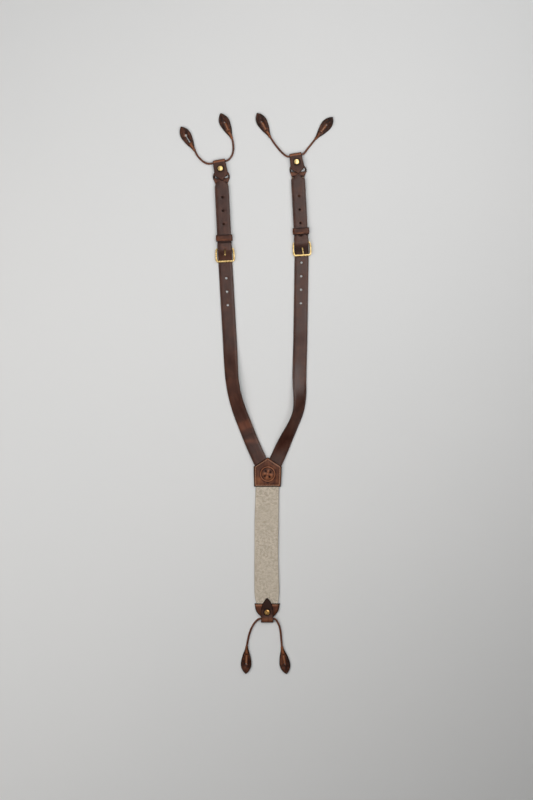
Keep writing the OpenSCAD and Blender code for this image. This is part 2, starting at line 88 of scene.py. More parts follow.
# x, y, z along each cord from tab to tab, from the middle of its tunnel
CORD_ROUTES = (
    ((-39, 28, 2), (-38, 24.5, 2), (-36.3, 19.5, 2), (-33.7, 14.4, 2), (-30.7, 9.8, 2),
     (-27.2, 5.8, 2.3), (-23, 2.4, 2.8), (-18.5, 0.4, 3.3), (-14, 0, 3.5), (-11, 0, 3.5),
     (11, 0, 3.5), (13.5, 0, 3.5), (16.7, 0.9, 3.3), (20.4, 3.2, 2.8), (23.9, 6.8, 2.3),
     (27, 11.9, 2), (29.3, 18.5, 2), (30.3, 25.5, 2), (30.6, 32.3, 2), (30.1, 37.3, 2)),
    ((-39, 39.5, 2), (-37.5, 36.6, 2), (-35, 30.6, 2), (-31.5, 23.7, 2), (-27.2, 15.8, 2),
     (-24, 10.8, 2.2), (-21.2, 7, 2.6), (-18.3, 3.7, 3.1), (-15.6, 1.3, 3.4),
     (-13, 0, 3.5), (-11, 0, 3.5), (11, 0, 3.5), (13, 0, 3.5), (15.8, 1.3, 3.4),
     (18.8, 4.1, 3), (22.2, 7.5, 2.5), (26.8, 11.7, 2.1), (32, 16.4, 2), (37.3, 21.1, 2),
     (40, 23.5, 2)),
    ((-26.3, 50, 2), (-25.6, 42.6, 2), (-24.8, 34.6, 2), (-24.1, 25.7, 2), (-22.8, 17.5, 2),
     (-20.8, 11, 2.3), (-18.2, 5.6, 2.9), (-15.4, 1.6, 3.4), (-13, 0, 3.5), (-11, 0, 3.5),
     (11, 0, 3.5), (13, 0, 3.5), (15.8, 1.1, 3.4), (19, 3.7, 3), (22.2, 7.4, 2.5),
     (25.4, 12.3, 2.1), (28.8, 19, 2), (31.7, 27, 2), (33.7, 35, 2), (35.3, 43.5, 2),
     (36.2, 49, 2)),
)
TAB_TURN = ((19.4, 13.9), (19.0, -47.9), (9.6, -2.1))
JOINTS = {j["name"]: j for j in frame["joints"]}


# ---------------------------------------------------------------- small maths

def unit(v):
    return v / np.maximum(np.linalg.norm(v, axis=-1, keepdims=True), 1e-12)


def smooth01(t):
    t = np.clip(t, 0, 1)
    return t * t * (3 - 2 * t)


def hump(v, width, power=2):
    """1 where v is 0, falling to 0 beyond the width, with a flat top if the power is 4."""
    return np.exp(-(v / width) ** power)


def arc(cx, cy, r, a, b, steps):
    t = np.radians(np.linspace(a, b, steps + 1))
    return np.stack([cx + r * np.cos(t), cy + r * np.sin(t)], -1)


def catmull(rows, steps):
    """A smooth curve through rows, with this many steps between two of them."""
    rows = np.array(rows, float)
    n = len(rows) - 1
    out = []
    for i in range(n):
        a, b, c, d = rows[max(i - 1, 0)], rows[i], rows[i + 1], rows[min(i + 2, n)]
        for t in np.arange(steps) / steps:
            out.append(0.5 * (2 * b + t * (c - a) + t * t * (2 * a - 5 * b + 4 * c - d)
                              + t ** 3 * (3 * b - a - 3 * c + d)))
    return np.array(out + [rows[n]])


def lengths(points):
    return np.concatenate([[0], np.cumsum(np.linalg.norm(np.diff(points, axis=0), axis=1))])


def resample(rows, step, dims):
    """Rows at even spacing along their first dims columns."""
    rows = np.asarray(rows, float)
    s = lengths(rows[:, :dims])
    n = max(int(round(s[-1] / step)), 2)
    at = np.linspace(0, s[-1], n + 1)
    return np.stack([np.interp(at, s, rows[:, k]) for k in range(rows.shape[1])], -1)


def blurred(rows, sigma):
    """Rows smoothed along their order, sigma in samples, with their ends kept."""
    n = max(int(3 * sigma), 1)
    kernel = np.exp(-0.5 * (np.arange(-n, n + 1) / sigma) ** 2)
    kernel /= kernel.sum()
    head = 2 * rows[0] - rows[n:0:-1]
    tail = 2 * rows[-1] - rows[-2:-n - 2:-1]
    padded = np.concatenate([head, rows, tail])
    return np.stack([np.convolve(padded[:, k], kernel, "valid") for k in range(rows.shape[1])], -1)


class Flat:
    """A flat frame: an origin in X and Y, a turn about Z in radians and a height."""

    def __init__(self, x, y, turn, z=0.0):
        self.x, self.y, self.turn, self.z = x, y, turn, z

    def __call__(self, p):
        p = np.asarray(p, float)
        c, s = math.cos(self.turn), math.sin(self.turn)
        return np.stack([self.x + p[..., 0] * c - p[..., 1] * s,
                         self.y + p[..., 0] * s + p[..., 1] * c, self.z + p[..., 2]], -1)

    def at(self, x, y, degrees=0.0, z=0.0):
        o = self(np.array([x, y, z]))
        return Flat(o[0], o[1], self.turn + math.radians(degrees), o[2])


class Bend:
    """Maps a flat pattern onto a path: x across it, y along it, h out of its face from the back."""

    def __init__(self, centre, across, out, thickness):
        self.centre, self.across, self.out, self.t = centre, unit(across), unit(out), thickness
        self.s = lengths(centre)
        self.length = self.s[-1]

    def __call__(self, p):
        p = np.asarray(p, float)
        pick = lambda rows: np.stack([np.interp(p[:, 1], self.s, rows[:, k]) for k in range(3)], -1)
        step = (self.centre[-1] - self.centre[-2]) / (self.s[-1] - self.s[-2])
        over = np.maximum(p[:, 1] - self.length, 0)[:, None] * step
        first = (self.centre[1] - self.centre[0]) / (self.s[1] - self.s[0])
        under = np.minimum(p[:, 1], 0)[:, None] * first
        return (pick(self.centre) + over + under + p[:, :1] * unit(pick(self.across))
                + (p[:, 2:3] - self.t / 2) * unit(pick(self.out)))


def profile_bend(points, thickness, place, blur=0.0, flip=False, plane="yz"):
    """A Bend along a line of (u, z) points in a frame's YZ plane, or (x, z) points in its XZ plane."""
    line = resample(np.array(points, float), 0.2, 2)
    if blur:
        line = blurred(line, blur / 0.2)
    d = unit(np.gradient(line, axis=0))
    zero, one = np.zeros(len(line)), np.ones(len(line))
    sign = -1.0 if flip else 1.0
    if plane == "yz":
        centre = np.stack([zero, line[:, 0], line[:, 1]], -1)
        across = sign * np.stack([one, zero, zero], -1)
        out = sign * np.stack([zero, -d[:, 1], d[:, 0]], -1)
    else:
        centre = np.stack([line[:, 0], zero, line[:, 1]], -1)
        across = np.stack([zero, one, zero], -1)
        out = np.stack([d[:, 1], zero, -d[:, 0]], -1)
    turn = lambda v: place(v) - place(np.zeros(3))
    bend = Bend(place(centre), turn(across), turn(out), thickness)
    bend.line = line
    return bend


def crossings(bend, value, column=0):
    """Distances along a profile bend where its line passes a value."""
    v = bend.line[:, column] - value
    i = np.nonzero(v[:-1] * v[1:] <= 0)[0]
    return [bend.s[k] + (bend.s[k + 1] - bend.s[k]) * v[k] / (v[k] - v[k + 1]) for k in i]


# ---------------------------------------------------------------- frames of the part

def joint_frame(name, sign):
    j = JOINTS[name]
    x, y, _ = (1000 * v for v in j["pos_m"])
    ax, ay, _ = (sign * v for v in j["axis"])
    return Flat(x, y, math.atan2(ay, ax))


FRONT = [joint_frame(f"{s}_buckle_tilt", -1) for s in SIDES]
TUNNEL = [joint_frame(f"{s}_cord_swing", 1) for s in (*SIDES, "rear")]


def tab_frame(k, end):
    base = CORD_ROUTES[k][0 if end == 0 else -1]
    return TUNNEL[k].at(base[0], base[1], TAB_TURN[k][end])


# ---------------------------------------------------------------- meshes

def build(name, verts, faces, material, body, replaces, data, tidy=True):
    """One visual piece, with its point data, riding its body and standing for its CAD nodes."""
    mesh = bpy.data.meshes.new(name)
    mesh.from_pydata((np.asarray(verts, float) * MM).tolist(), [], [list(map(int, f)) for f in faces])
    for key, values in data.items():
        values = np.asarray(values, np.float32)
        kind = "FLOAT_VECTOR" if values.ndim == 2 else "FLOAT"
        attribute = mesh.attributes.new(key, kind, "POINT")
        attribute.data.foreach_set("vector" if values.ndim == 2 else "value", values.ravel())
    mesh.materials.append(material)
    if tidy:
        bm = bmesh.new()
        bm.from_mesh(mesh)
        bmesh.ops.recalc_face_normals(bm, faces=bm.faces)
        bm.to_mesh(mesh)
        bm.free()
    mesh.polygons.foreach_set("use_smooth", [True] * len(mesh.polygons))
    obj = bpy.data.objects.new(name, mesh)
    bpy.context.scene.collection.objects.link(obj)
    if body:
        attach(obj, body)
    if replaces:
        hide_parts(*replaces)
    return obj


def area2(loop):
    x, y = loop[:, 0], loop[:, 1]
    return np.sum(x * np.roll(y, -1) - np.roll(x, -1) * y)


def dense(loop, step):
    """A closed loop with its long edges divided."""
    out = []
    for a, b in zip(loop, np.roll(loop, -1, axis=0)):
        n = max(int(math.ceil(np.linalg.norm(b - a) / step)), 1)
        out += [a + (b - a) * i / n for i in range(n)]
    return np.array(out)


def mirrored(half):
    """The closed outline of a piece from rows of a place along it and its half width there."""
    half = np.array(half)
    return np.concatenate([half[:, ::-1], (half[:, ::-1] * (-1, 1))[::-1]])


def rounded(points, r):
    """A closed loop with its corners rounded off."""
    points = np.array(points, float)
    out = []
    n = len(points)
    for i in range(n):
        p, a, b = points[i], points[i - 1], points[(i + 1) % n]
        reach = min(r, 0.45 * np.linalg.norm(a - p), 0.45 * np.linalg.norm(b - p))
        p0 = p + unit(a - p) * reach
        p1 = p + unit(b - p) * reach
        for t in (0, 0.25, 0.5, 0.75, 1):
            out.append((1 - t) ** 2 * p0 + 2 * t * (1 - t) * p + t * t * p1)
    return np.array(out)


def segment_distance(points, loops):
    """Distance of each point to the nearest edge of any loop."""
    a = np.concatenate(loops)
    b = np.concatenate([np.roll(l, -1, axis=0) for l in loops])
    d = b - a
    dd = np.maximum((d * d).sum(1), 1e-12)
    best = np.full(len(points), 1e9)
    for i in range(0, len(points), 2000):
        p = points[i:i + 2000, None, :]
        t = np.clip(((p - a) * d).sum(2) / dd, 0, 1)
        best[i:i + 2000] = np.sqrt((((p - a) - t[..., None] * d) ** 2).sum(2).min(1))
    return best


def inside(points, loops):
    """Whether points are inside the first loop and outside the others, by crossings."""
    count = np.zeros(len(points), int)
    x, y = points[:, :1], points[:, 1:]
    for loop in loops:
        ax, ay = loop[:, 0], loop[:, 1]
        bx, by = np.roll(ax, -1), np.roll(ay, -1)
        hit = ((ay > y) != (by > y)) & (x < (bx - ax) * (y - ay) / np.where(by == ay, 1e-12, by - ay) + ax)
        count += hit.sum(1)
    return count % 2 == 1


def leather(name, outline, t, place, material, body, replaces=(), holes=(), r=0.45, step=2.0, grid=3.0,
            crease=None, depth=0.14, relief=None, lift=None, fine=None, tint=None, seed=0.0):
    """A leather piece cut to an outline: rounded edges, a creased line and its holes, laid on place.

    relief(x, y, d) raises the face, lift(x, y, d) both faces and tint(x, y, d) makes it paler or, below
    zero, darker, for the leather's own marks and for painted highlights and painted shade; d is the distance
    from the edge.
    """
    outline = np.array(outline, float)
    if area2(outline) < 0:
        outline = outline[::-1]
    loops = [dense(outline, step)]
    for h in holes:
        h = np.array(h, float)
        loops.append(h[::-1] if area2(h) > 0 else h)
    insets = [r * (1 - math.cos(math.radians(a))) for a in (20, 40, 62, 90)]
    if crease:
        insets += [crease + o for o in (-0.5, -0.22, 0, 0.22, 0.5)]
    points, edges, d = [], [], []

    def add(loop, dist, kept):
        index = [-1] * len(loop)
        for i, p in enumerate(loop):
            if kept[i]:
                index[i] = len(points)
                points.append(p)
                d.append(dist)
        for i in range(len(loop)):
            a, b = index[i], index[(i + 1) % len(loop)]
            if a >= 0 and b >= 0:
                edges.append((a, b))

    # rings of points at each inset from the outline and the holes, so that edges and creases are crisp
    for loop in loops:
        add(loop, 0.0, [True] * len(loop))
    count0 = len(points)
    for n, loop in enumerate(loops):
        before = unit(loop - np.roll(loop, 1, axis=0))
        after = unit(np.roll(loop, -1, axis=0) - loop)
        normal = unit(np.stack([-(before + after)[:, 1], (before + after)[:, 0]], -1))
        reach = np.maximum((normal * np.stack([-before[:, 1], before[:, 0]], -1)).sum(1), 0.35)
        for inset in insets if n == 0 else insets[:4]:
            q = loop + normal * (inset / reach)[:, None]
            ok = (segment_distance(q, loops) > inset * 0.985 - 1e-4) & inside(q, loops)
            add(q, inset, ok)
    # an even grid inside the rings, finer round one point if asked
    margin = max(insets) + 0.45 * min(grid, 2.0)
    lo, hi = loops[0].min(0), loops[0].max(0)
    xs = np.arange(lo[0] + grid / 2, hi[0], grid)
    ys = np.arange(lo[1] + grid / 2, hi[1], grid)
    inner = np.stack(np.meshgrid(xs, ys), -1).reshape(-1, 2)
    inner[:, 0] += np.where((np.round((inner[:, 1] - lo[1]) / grid).astype(int) % 2) == 0, 0, grid / 2)
    if fine is not None:
        cx, cy, rad, small = fine
        inner = inner[np.hypot(inner[:, 0] - cx, inner[:, 1] - cy) > rad]
        g = np.arange(-rad, rad, small)
        extra = np.stack(np.meshgrid(g, g), -1).reshape(-1, 2)
        extra = extra[np.hypot(extra[:, 0], extra[:, 1]) < rad - small * 0.5] + [cx, cy]
        inner = np.concatenate([inner, extra])
    far = segment_distance(inner, loops)
    keep = inside(inner, loops) & (far > margin * 0.9)
    rings = np.array(points)[count0:]
    if len(rings):
        close = np.full(len(inner), 1e9)
        for i in range(0, len(inner), 2000):
            close[i:i + 2000] = np.sqrt(((inner[i:i + 2000, None, :] - rings) ** 2).sum(2).min(1))
        keep |= inside(inner, loops) & (far > max(insets) * 1.05) & (close > 0.4 * grid)
    points += list(inner[keep])
    d += list(far[keep])
    # triangles between all of these, then a face, a back and the wall that joins them
    out = delaunay_2d_cdt([Vector(p) for p in points], edges, [], 0, 1e-6)
    verts2 = np.array([v[:] for v in out[0]])
    origin = [o[0] if o else -1 for o in out[3]]
    d = np.array([d[o] if o >= 0 else 0.0 for o in origin])
    tri = np.array([f for f in out[2] if len(f) == 3])
    mid = verts2[tri].mean(1)
    tri = tri[inside(mid, loops)]
    used = np.unique(tri)
    index = np.full(len(verts2), -1)
    index[used] = np.arange(len(used))
    verts2, d, tri = verts2[used], d[used], index[tri]
    flipped = np.cross(verts2[tri[:, 1]] - verts2[tri[:, 0]], verts2[tri[:, 2]] - verts2[tri[:, 0]]) < 0
    tri[flipped] = tri[flipped][:, ::-1]
    x, y = verts2[:, 0], verts2[:, 1]
    drop = np.where(d < r, r - np.sqrt(np.maximum(r * r - (r - d) ** 2, 0)), 0)
    top = t - drop
    if crease:
        top = top - depth * hump(d - crease, 0.34)
    if relief is not None:
        top = top + relief(x, y, d)
    bottom = drop.copy()
    if lift is not None:
        off = lift(x, y, d)
        top, bottom = top + off, bottom + off
    n = len(verts2)
    flat = np.concatenate([np.stack([x, y, top], -1), np.stack([x, y, bottom], -1)])
    faces = [list(f) for f in tri] + [[f[2] + n, f[1] + n, f[0] + n] for f in tri]
    pairs = {}
    for f in tri:
        for i in range(3):
            a, b = int(f[i]), int(f[(i + 1) % 3])
            if (b, a) in pairs:
                pairs.pop((b, a))
            else:
                pairs[(a, b)] = True
    faces += [[b, a, a + n, b + n] for a, b in pairs]
    shade = np.clip(tint(x, y, d), -1, 2) if tint is not None else np.zeros(n)
    data = {"edge": np.concatenate([d, d]), "tint": np.concatenate([shade, 0 * shade]),
            "flat": (flat + [seed * 37.0, seed * 91.0, seed * 13.0]) * MM}
    return build(name, place(flat), faces, material, body, replaces, data, tidy=False)


def tube(path, radius, sides=16, closed=False, seam=None, squash=None, start_up=(0, 0, 1)):
    """Vertices, faces and flat coordinates of a round rod along a path; radius may vary along it."""
    path = np.asarray(path, float)
    n = len(path)
    radius = np.broadcast_to(np.asarray(radius, float), (n,))
    if closed:
        forward = unit(np.roll(path, -1, axis=0) - np.roll(path, 1, axis=0))
    else:
        forward = unit(np.gradient(path, axis=0))
    up = np.array(start_up, float)
    rings, marks, s = [], [], lengths(path)
    ang = 2 * np.pi * np.arange(sides) / sides
    edge = []
    for i in range(n):
        side = unit(np.cross(forward[i], up))
        up = unit(np.cross(side, forward[i]))
        rr = np.full(sides, radius[i])
        away = np.full(sides, 4.0)
        if seam is not None:
            off = np.abs((ang - seam + np.pi) % (2 * np.pi) - np.pi) * radius[i]
            rr = rr - 0.3 * hump(off, 0.28)
            away = off
        a, b = (1.0, 1.0) if squash is None else squash
        rings.append(path[i] + (rr * np.cos(ang))[:, None] * side * a + (rr * np.sin(ang))[:, None] * up * b)
        marks.append(np.stack([ang * radius[i], np.full(sides, s[i]), np.zeros(sides)], -1))
        edge.append(away)
    verts, marks, edge = np.concatenate(rings), np.concatenate(marks), np.concatenate(edge)
    faces = []
    for i in range(n if closed else n - 1):
        j = (i + 1) % n
        for k in range(sides):
            m = (k + 1) % sides
            faces.append([i * sides + k, i * sides + m, j * sides + m, j * sides + k])
    if not closed:
        for i, order in ((0, -1), (n - 1, 1)):
            c = len(verts)
            verts = np.concatenate([verts, path[i:i + 1]])
            marks = np.concatenate([marks, marks[i * sides:i * sides + 1]])
            edge = np.concatenate([edge, [4.0]])
            for k in range(sides):
                f = [i * sides + k, i * sides + (k + 1) % sides, c]
                faces.append(f if order == 1 else f[::-1])
    return verts, faces, marks, edge


def joined(parts):
    """Several (verts, faces, marks, edge) as one."""
    verts, faces, marks, edge, base = [], [], [], [], 0
    for v, f, m, e in parts:
        verts.append(v)
        marks.append(m)
        edge.append(e)
        faces += [[i + base for i in face] for face in f]
        base += len(v)
    return np.concatenate(verts), faces, np.concatenate(marks), np.concatenate(edge)


def solid(name, parts, material, body, replaces=(), seed=0.0):
    v, f, m, e = joined(parts)
    data = {"edge": e, "tint": 0 * e, "flat": (m + [seed * 37.0, seed * 91.0, seed * 13.0]) * MM}
    return build(name, v, f, material, body, replaces, data)


def lathe(profile, place, segments=64):
    """A turned piece from (radius, z) points, first and last on the axis."""
    profile = np.asarray(profile, float)
    ang = 2 * np.pi * np.arange(segments) / segments
    verts, faces = [[0, 0, profile[0, 1]]], []
    for r, z in profile[1:-1]:
        verts += [[r * math.cos(a), r * math.sin(a), z] for a in ang]
    verts.append([0, 0, profile[-1, 1]])
    rows = len(profile) - 2
    for k in range(segments):
        m = (k + 1) % segments
        faces.append([0, 1 + m, 1 + k])
        for i in range(rows - 1):
            a, b = 1 + i * segments, 1 + (i + 1) * segments
            faces.append([a + k, a + m, b + m, b + k])
        last = 1 + (rows - 1) * segments
        faces.append([last + k, last + m, len(verts) - 1])
    verts = np.array(verts, float)
    return place(verts), faces, verts.copy(), np.full(len(verts), 4.0)


def stitch(place, x, y, z, degrees, length=2.6, width=0.75, height=0.42):
    """One thread stitch, arched, with its ends going down into the leather."""
    t = np.linspace(-1, 1, 9)
    wave = np.stack([t * length / 2, np.zeros(9), height * (1 - t ** 2) ** 0.7 - 0.22], -1)
    here = place.at(x, y, degrees, z)
    path = here(wave)
    radius = width / 2 * (0.55 + 0.45 * (1 - t ** 4))
    return tube(path, radius, sides=8)


def stitch_row(place, a, b, count, height, tilt=6.0, **kw):
    a, b = np.array(a, float), np.array(b, float)
    run = math.degrees(math.atan2(b[1] - a[1], b[0] - a[0]))
    out = []
    for i in range(count):
        p = a + (b - a) * (i + 0.5) / count
        out.append(stitch(place, p[0], p[1], height(p[0], p[1]), run + tilt, **kw))
    return out


# ---------------------------------------------------------------- materials

class Graph:
    """One material's shader, with short ways to make its nodes."""

    def __init__(self, name):
        self.material = bpy.data.materials.new(name)
        self.material.use_nodes = True
        self.nodes, self.links = self.material.node_tree.nodes, self.material.node_tree.links
        self.nodes.clear()
        self.shader = self.nodes.new("ShaderNodeBsdfPrincipled")
        out = self.nodes.new("ShaderNodeOutputMaterial")
        self.links.new(self.shader.outputs[0], out.inputs[0])

    def fill(self, node, inputs):
        for key, value in inputs.items():
            if isinstance(value, bpy.types.NodeSocket):
                self.links.new(value, node.inputs[key])
            else:
                node.inputs[key].default_value = value

    def node(self, kind, inputs, **settings):
        """A new node with its settings, and its inputs by name or number."""
        node = self.nodes.new("ShaderNode" + kind)
        for key, value in settings.items():
            setattr(node, key, value)
        self.fill(node, inputs)
        return node

    def attribute(self, name, output="Fac"):
        return self.node("Attribute", {}, attribute_name=name).outputs[output]

    def noise(self, vector, scale, detail=3.0, rough=0.5, distortion=0.0):
        return self.node("TexNoise", {"Vector": vector, "Scale": scale, "Detail": detail, "Roughness": rough,
                                      "Distortion": distortion}).outputs[0]

    def cells(self, vector, scale):
        return self.node("TexVoronoi", {"Vector": vector, "Scale": scale}).outputs["Distance"]

    def stretched(self, vector, scale):
        return self.node("Mapping", {"Vector": vector, "Scale": scale}).outputs[0]

    def math(self, operation, *values, clamp=False):
        return self.node("Math", dict(enumerate(values)), operation=operation, use_clamp=clamp).outputs[0]

    def plus(self, a, b, clamp=False):
        return self.math("ADD", a, b, clamp=clamp)

    def times(self, a, b, clamp=False):
        return self.math("MULTIPLY", a, b, clamp=clamp)

    def shifted(self, value, middle, gain):
        return self.times(self.math("SUBTRACT", value, middle), gain)

    def wave(self, value, period):
        return self.math("SINE", self.times(value, 2 * math.pi / period))

    def yarns(self, value, pitch):
        """Round threads side by side at a pitch."""
        return self.math("ABSOLUTE", self.wave(value, 2 * pitch))

    def ramp(self, value, *stops):
        node = self.node("ValToRGB", {0: value})
        elements = node.color_ramp.elements
        for element, (position, colour) in zip(elements, (stops[0], stops[-1])):
            element.position, element.color = position, (*colour, 1)
        for position, colour in stops[1:-1]:
            elements.new(position).color = (*colour, 1)
        return node.outputs[0]

    def level(self, value, *limits):
        """The value brought smoothly from one range, low and high, to another, 0 and 1 unless given."""
        inputs = dict(enumerate((value, *limits)))
        return self.node("MapRange", inputs, interpolation_type="SMOOTHSTEP").outputs[0]

    def mix(self, factor, a, b):
        a, b = ((*c, 1) if isinstance(c, tuple) else c for c in (a, b))
        return self.node("Mix", {"Factor": factor, 6: a, 7: b}, data_type="RGBA").outputs[2]

    def finish(self, colour, bumps, inputs):
        """The material with its colour, its bumps (height, strength, distance) and other shader inputs."""
        normal = {}
        for height, strength, distance in bumps:
            layer = {"Height": height, "Strength": strength, "Distance": distance, **normal}
            normal = {"Normal": self.node("Bump", layer).outputs[0]}
        self.fill(self.shader, {"Base Color": colour, **normal, **inputs})
        return self.material


PALEST_HIGHLIGHT = (0.52, 0.31, 0.17)


def leather_material(name, dark, mid, light, edge_colour, rub=0.5, grain=0.5, edge_width=1.1,
                     pale=(0.30, 0.105, 0.045), specular=0.3, spread=0.19):
    """Waxed leather: mottled colour, pebbled grain, fine pores, dark burnished edges and worn places near
    them; the tint attribute adds painted highlights, painted shade and some of the leather's own marks.
    """
    g = Graph(name)
    flat, edge, tint = g.attribute("flat", "Vector"), g.attribute("edge"), g.attribute("tint")
    cloud = g.noise(flat, 45.0, 4.0, 0.62, 0.4)
    streak = g.noise(g.stretched(flat, (1.0, 0.22, 1.0)), 190.0, 3.0, 0.6, 0.2)
    speck = g.noise(flat, 1500.0, 2.0, 0.6)
    pebble, pores = g.cells(flat, 1050.0), g.cells(flat, 2300.0)
    tone = g.plus(g.times(cloud, 0.62), g.times(streak, 0.38))
    colour = g.ramp(tone, (0.49 - spread, dark), (0.49, mid), (0.49 + spread, light))
    colour = g.mix(g.level(speck, 0.42, 0.66, 0.0, 0.35), colour, dark)
    wear = g.times(g.level(edge, 0.35, 0.9), g.level(edge, 2.6, 1.2))
    wear = g.times(wear, g.level(cloud, 0.38, 0.66, 0.0, rub))
    colour = g.mix(wear, colour, light)
    burn = g.level(g.plus(edge, g.shifted(cloud, 0.5, 0.9)), edge_width, 0.1)
    colour = g.mix(burn, colour, edge_colour)
    patchy = g.level(streak, 0.25, 0.6, 0.45, 1.0)
    # tint above zero paints highlights and sheen in the pale colour, below zero paints shade in the edge
    # colour, and from one to two paints the brightest highlights; it also carries some real marks
    colour = g.mix(g.times(g.level(tint, 0.0, 1.0), patchy, clamp=True), colour, pale)
    colour = g.mix(g.level(tint, 0.0, -1.0), colour, edge_colour)
    colour = g.mix(g.level(tint, 1.0, 2.0), colour, PALEST_HIGHLIGHT)
    gloss = g.level(g.plus(g.times(cloud, 0.5), g.times(streak, 0.5)), 0.35, 0.65, 0.30, 0.44)
    gloss = g.plus(gloss, g.shifted(pebble, 0.4, 0.12))
    gloss = g.plus(gloss, g.level(tint, 0.0, -1.0, 0.0, 0.5), clamp=True)
    bumps = [(cloud, 0.25, 0.0008), (streak, 0.3, 0.00025), (pebble, grain, 0.00016),
             (pores, grain * 0.6, 0.00006)]
    return g.finish(colour, bumps, {"Roughness": gloss, "Specular IOR Level": specular})


def brass_material(name, deep, mid, bright):
    g = Graph(name)
    flat = g.attribute("flat", "Vector")
    cloud = g.noise(flat, 260.0, 4.0, 0.6)
    scratch = g.noise(g.stretched(flat, (1.0, 0.06, 1.0)), 2600.0, 2.0, 0.5)
    gloss = g.level(g.plus(g.times(cloud, 0.6), g.times(scratch, 0.4)), 0.3, 0.7, 0.23, 0.34)
    colour = g.ramp(cloud, (0.3, deep), (0.55, mid), (0.75, bright))
    bumps = [(cloud, 0.03, 0.0001), (scratch, 0.10, 0.00003)]
    return g.finish(colour, bumps, {"Metallic": 0.72, "Roughness": gloss})


def thread_material():
    g = Graph("waxed_thread")
    flat = g.attribute("flat", "Vector")
    ply = g.node("TexWave", {"Vector": flat, "Scale": 520.0, "Distortion": 1.0}, bands_direction="DIAGONAL")
    ply = ply.outputs["Fac"]
    fuzz = g.noise(flat, 3200.0, 3.0, 0.6)
    colour = g.ramp(ply, (0.15, (0.15, 0.080, 0.042)), (0.6, (0.40, 0.26, 0.155)), (0.9, (0.52, 0.37, 0.24)))
    colour = g.mix(g.level(fuzz, 0.45, 0.7, 0.0, 0.4), colour, (0.14, 0.08, 0.045))
    bumps = [(ply, 0.6, 0.00012), (fuzz, 0.3, 0.00005)]
    return g.finish(colour, bumps, {"Roughness": 0.62, "Sheen Weight": 0.25})


def webbing_material():
    """Elastic webbing: slanting yarns that turn at each column, mottled, with small loops on its edges."""
    g = Graph("herringbone_elastic")
    flat, edge = g.attribute("flat", "Vector"), g.attribute("edge")
    across, along, _ = g.node("SeparateXYZ", {0: flat}).outputs
    across = g.plus(across, g.shifted(g.noise(flat, 420.0, 2.0), 0.5, 0.00035))
    column = 0.0230
    fold = g.math("PINGPONG", g.plus(across, 0.0015), column / 2)
    slant = g.plus(along, g.times(fold, 0.85))
    thin = g.plus(g.times(g.yarns(across, 0.0013), 0.20), g.times(g.yarns(along, 0.0010), 0.12))
    weave = g.plus(g.times(g.yarns(slant, 0.0030), 0.68), thin)
    cloud = g.noise(flat, 60.0, 3.0, 0.55)
    slub = g.noise(g.stretched(flat, (1.0, 0.5, 1.0)), 700.0, 3.0, 0.65)
    fuzz = g.noise(flat, 3600.0, 2.0, 0.6)
    colour = g.ramp(weave, (0.18, (0.175, 0.135, 0.095)), (0.48, (0.40, 0.335, 0.255)),
                    (0.85, (0.62, 0.545, 0.44)))
    colour = g.mix(g.level(slub, 0.42, 0.62, 0.0, 0.6), colour, (0.64, 0.57, 0.47))
    colour = g.mix(g.level(slub, 0.42, 0.30, 0.0, 0.5), colour, (0.27, 0.22, 0.16))
    colour = g.mix(g.level(cloud, 0.35, 0.7, 0.0, 0.2), colour, (0.42, 0.35, 0.27))
    mottle = g.plus(g.noise(flat, 405.0, 2.0, 0.6), g.times(g.wave(slant, 0.0041), 0.06))
    paler, darker = g.mix(0.31, colour, (0.80, 0.72, 0.60)), g.mix(0.36, colour, (0.17, 0.13, 0.085))
    colour = g.mix(g.level(mottle, 0.42, 0.58), paler, darker)
    colour = g.mix(g.level(edge, 1.3, 0.2, 0.0, 0.4), colour, (0.42, 0.35, 0.27))
    loops = g.times(g.level(g.wave(along, 0.0039), -0.2, 0.6), 0.55)
    colour = g.mix(g.times(g.level(edge, 1.1, 0.5), loops), colour, (0.20, 0.115, 0.065))
    colour = g.mix(g.level(fuzz, 0.4, 0.7, 0.0, 0.3), colour, (0.52, 0.45, 0.36))
    return g.finish(colour, [(weave, 0.85, 0.00022), (slub, 0.3, 0.00008), (fuzz, 0.4, 0.00005)],
                    {"Roughness": 0.86, "Sheen Weight": 0.3, "Sheen Roughness": 0.5})


def floor_material():
    g = Graph("pale_paper")
    tone = g.noise(g.node("TexCoord", {}).outputs["Object"], 2.2, 2.0, 0.5)
    colour = g.ramp(tone, (0.3, (0.700, 0.705, 0.705)), (0.7, (0.712, 0.714, 0.712)))
    return g.finish(colour, [], {"Roughness": 0.9, "Specular IOR Level": 0.1})


DARK_EDGE = (0.008, 0.0026, 0.0016)
STRAP = leather_material("dark_strap_leather", (0.030, 0.0080, 0.0042), (0.050, 0.0145, 0.0072),
                         (0.088, 0.028, 0.0135), (0.016, 0.0048, 0.0026), edge_width=0.6,
                         pale=(0.24, 0.068, 0.026), specular=0.36)
WARM = leather_material("warm_pull_up_leather", (0.044, 0.0105, 0.0045), (0.098, 0.0275, 0.0105),
                        (0.215, 0.072, 0.027), DARK_EDGE, rub=0.8, edge_width=1.3,
                        spread=0.15, specular=0.23)
HANG = leather_material("hanger_leather", (0.032, 0.0095, 0.0052), (0.056, 0.0185, 0.0100),
                        (0.112, 0.043, 0.023), DARK_EDGE, edge_width=0.9, specular=0.22)
TAB = leather_material("tab_leather", (0.012, 0.0034, 0.0020), (0.031, 0.0087, 0.0043),
                       (0.110, 0.036, 0.017), (0.004, 0.0015, 0.0010), rub=0.9, edge_width=2.2,
                       specular=0.13, spread=0.10)
CORD = leather_material("rolled_cord_leather", (0.062, 0.0155, 0.0062), (0.115, 0.0330, 0.0130),
                        (0.21, 0.070, 0.029), (0.018, 0.005, 0.0026), rub=0.3, grain=0.4, edge_width=0.7)
BRASS = brass_material("polished_brass", (0.70, 0.44, 0.14), (0.90, 0.65, 0.27), (0.98, 0.82, 0.48))
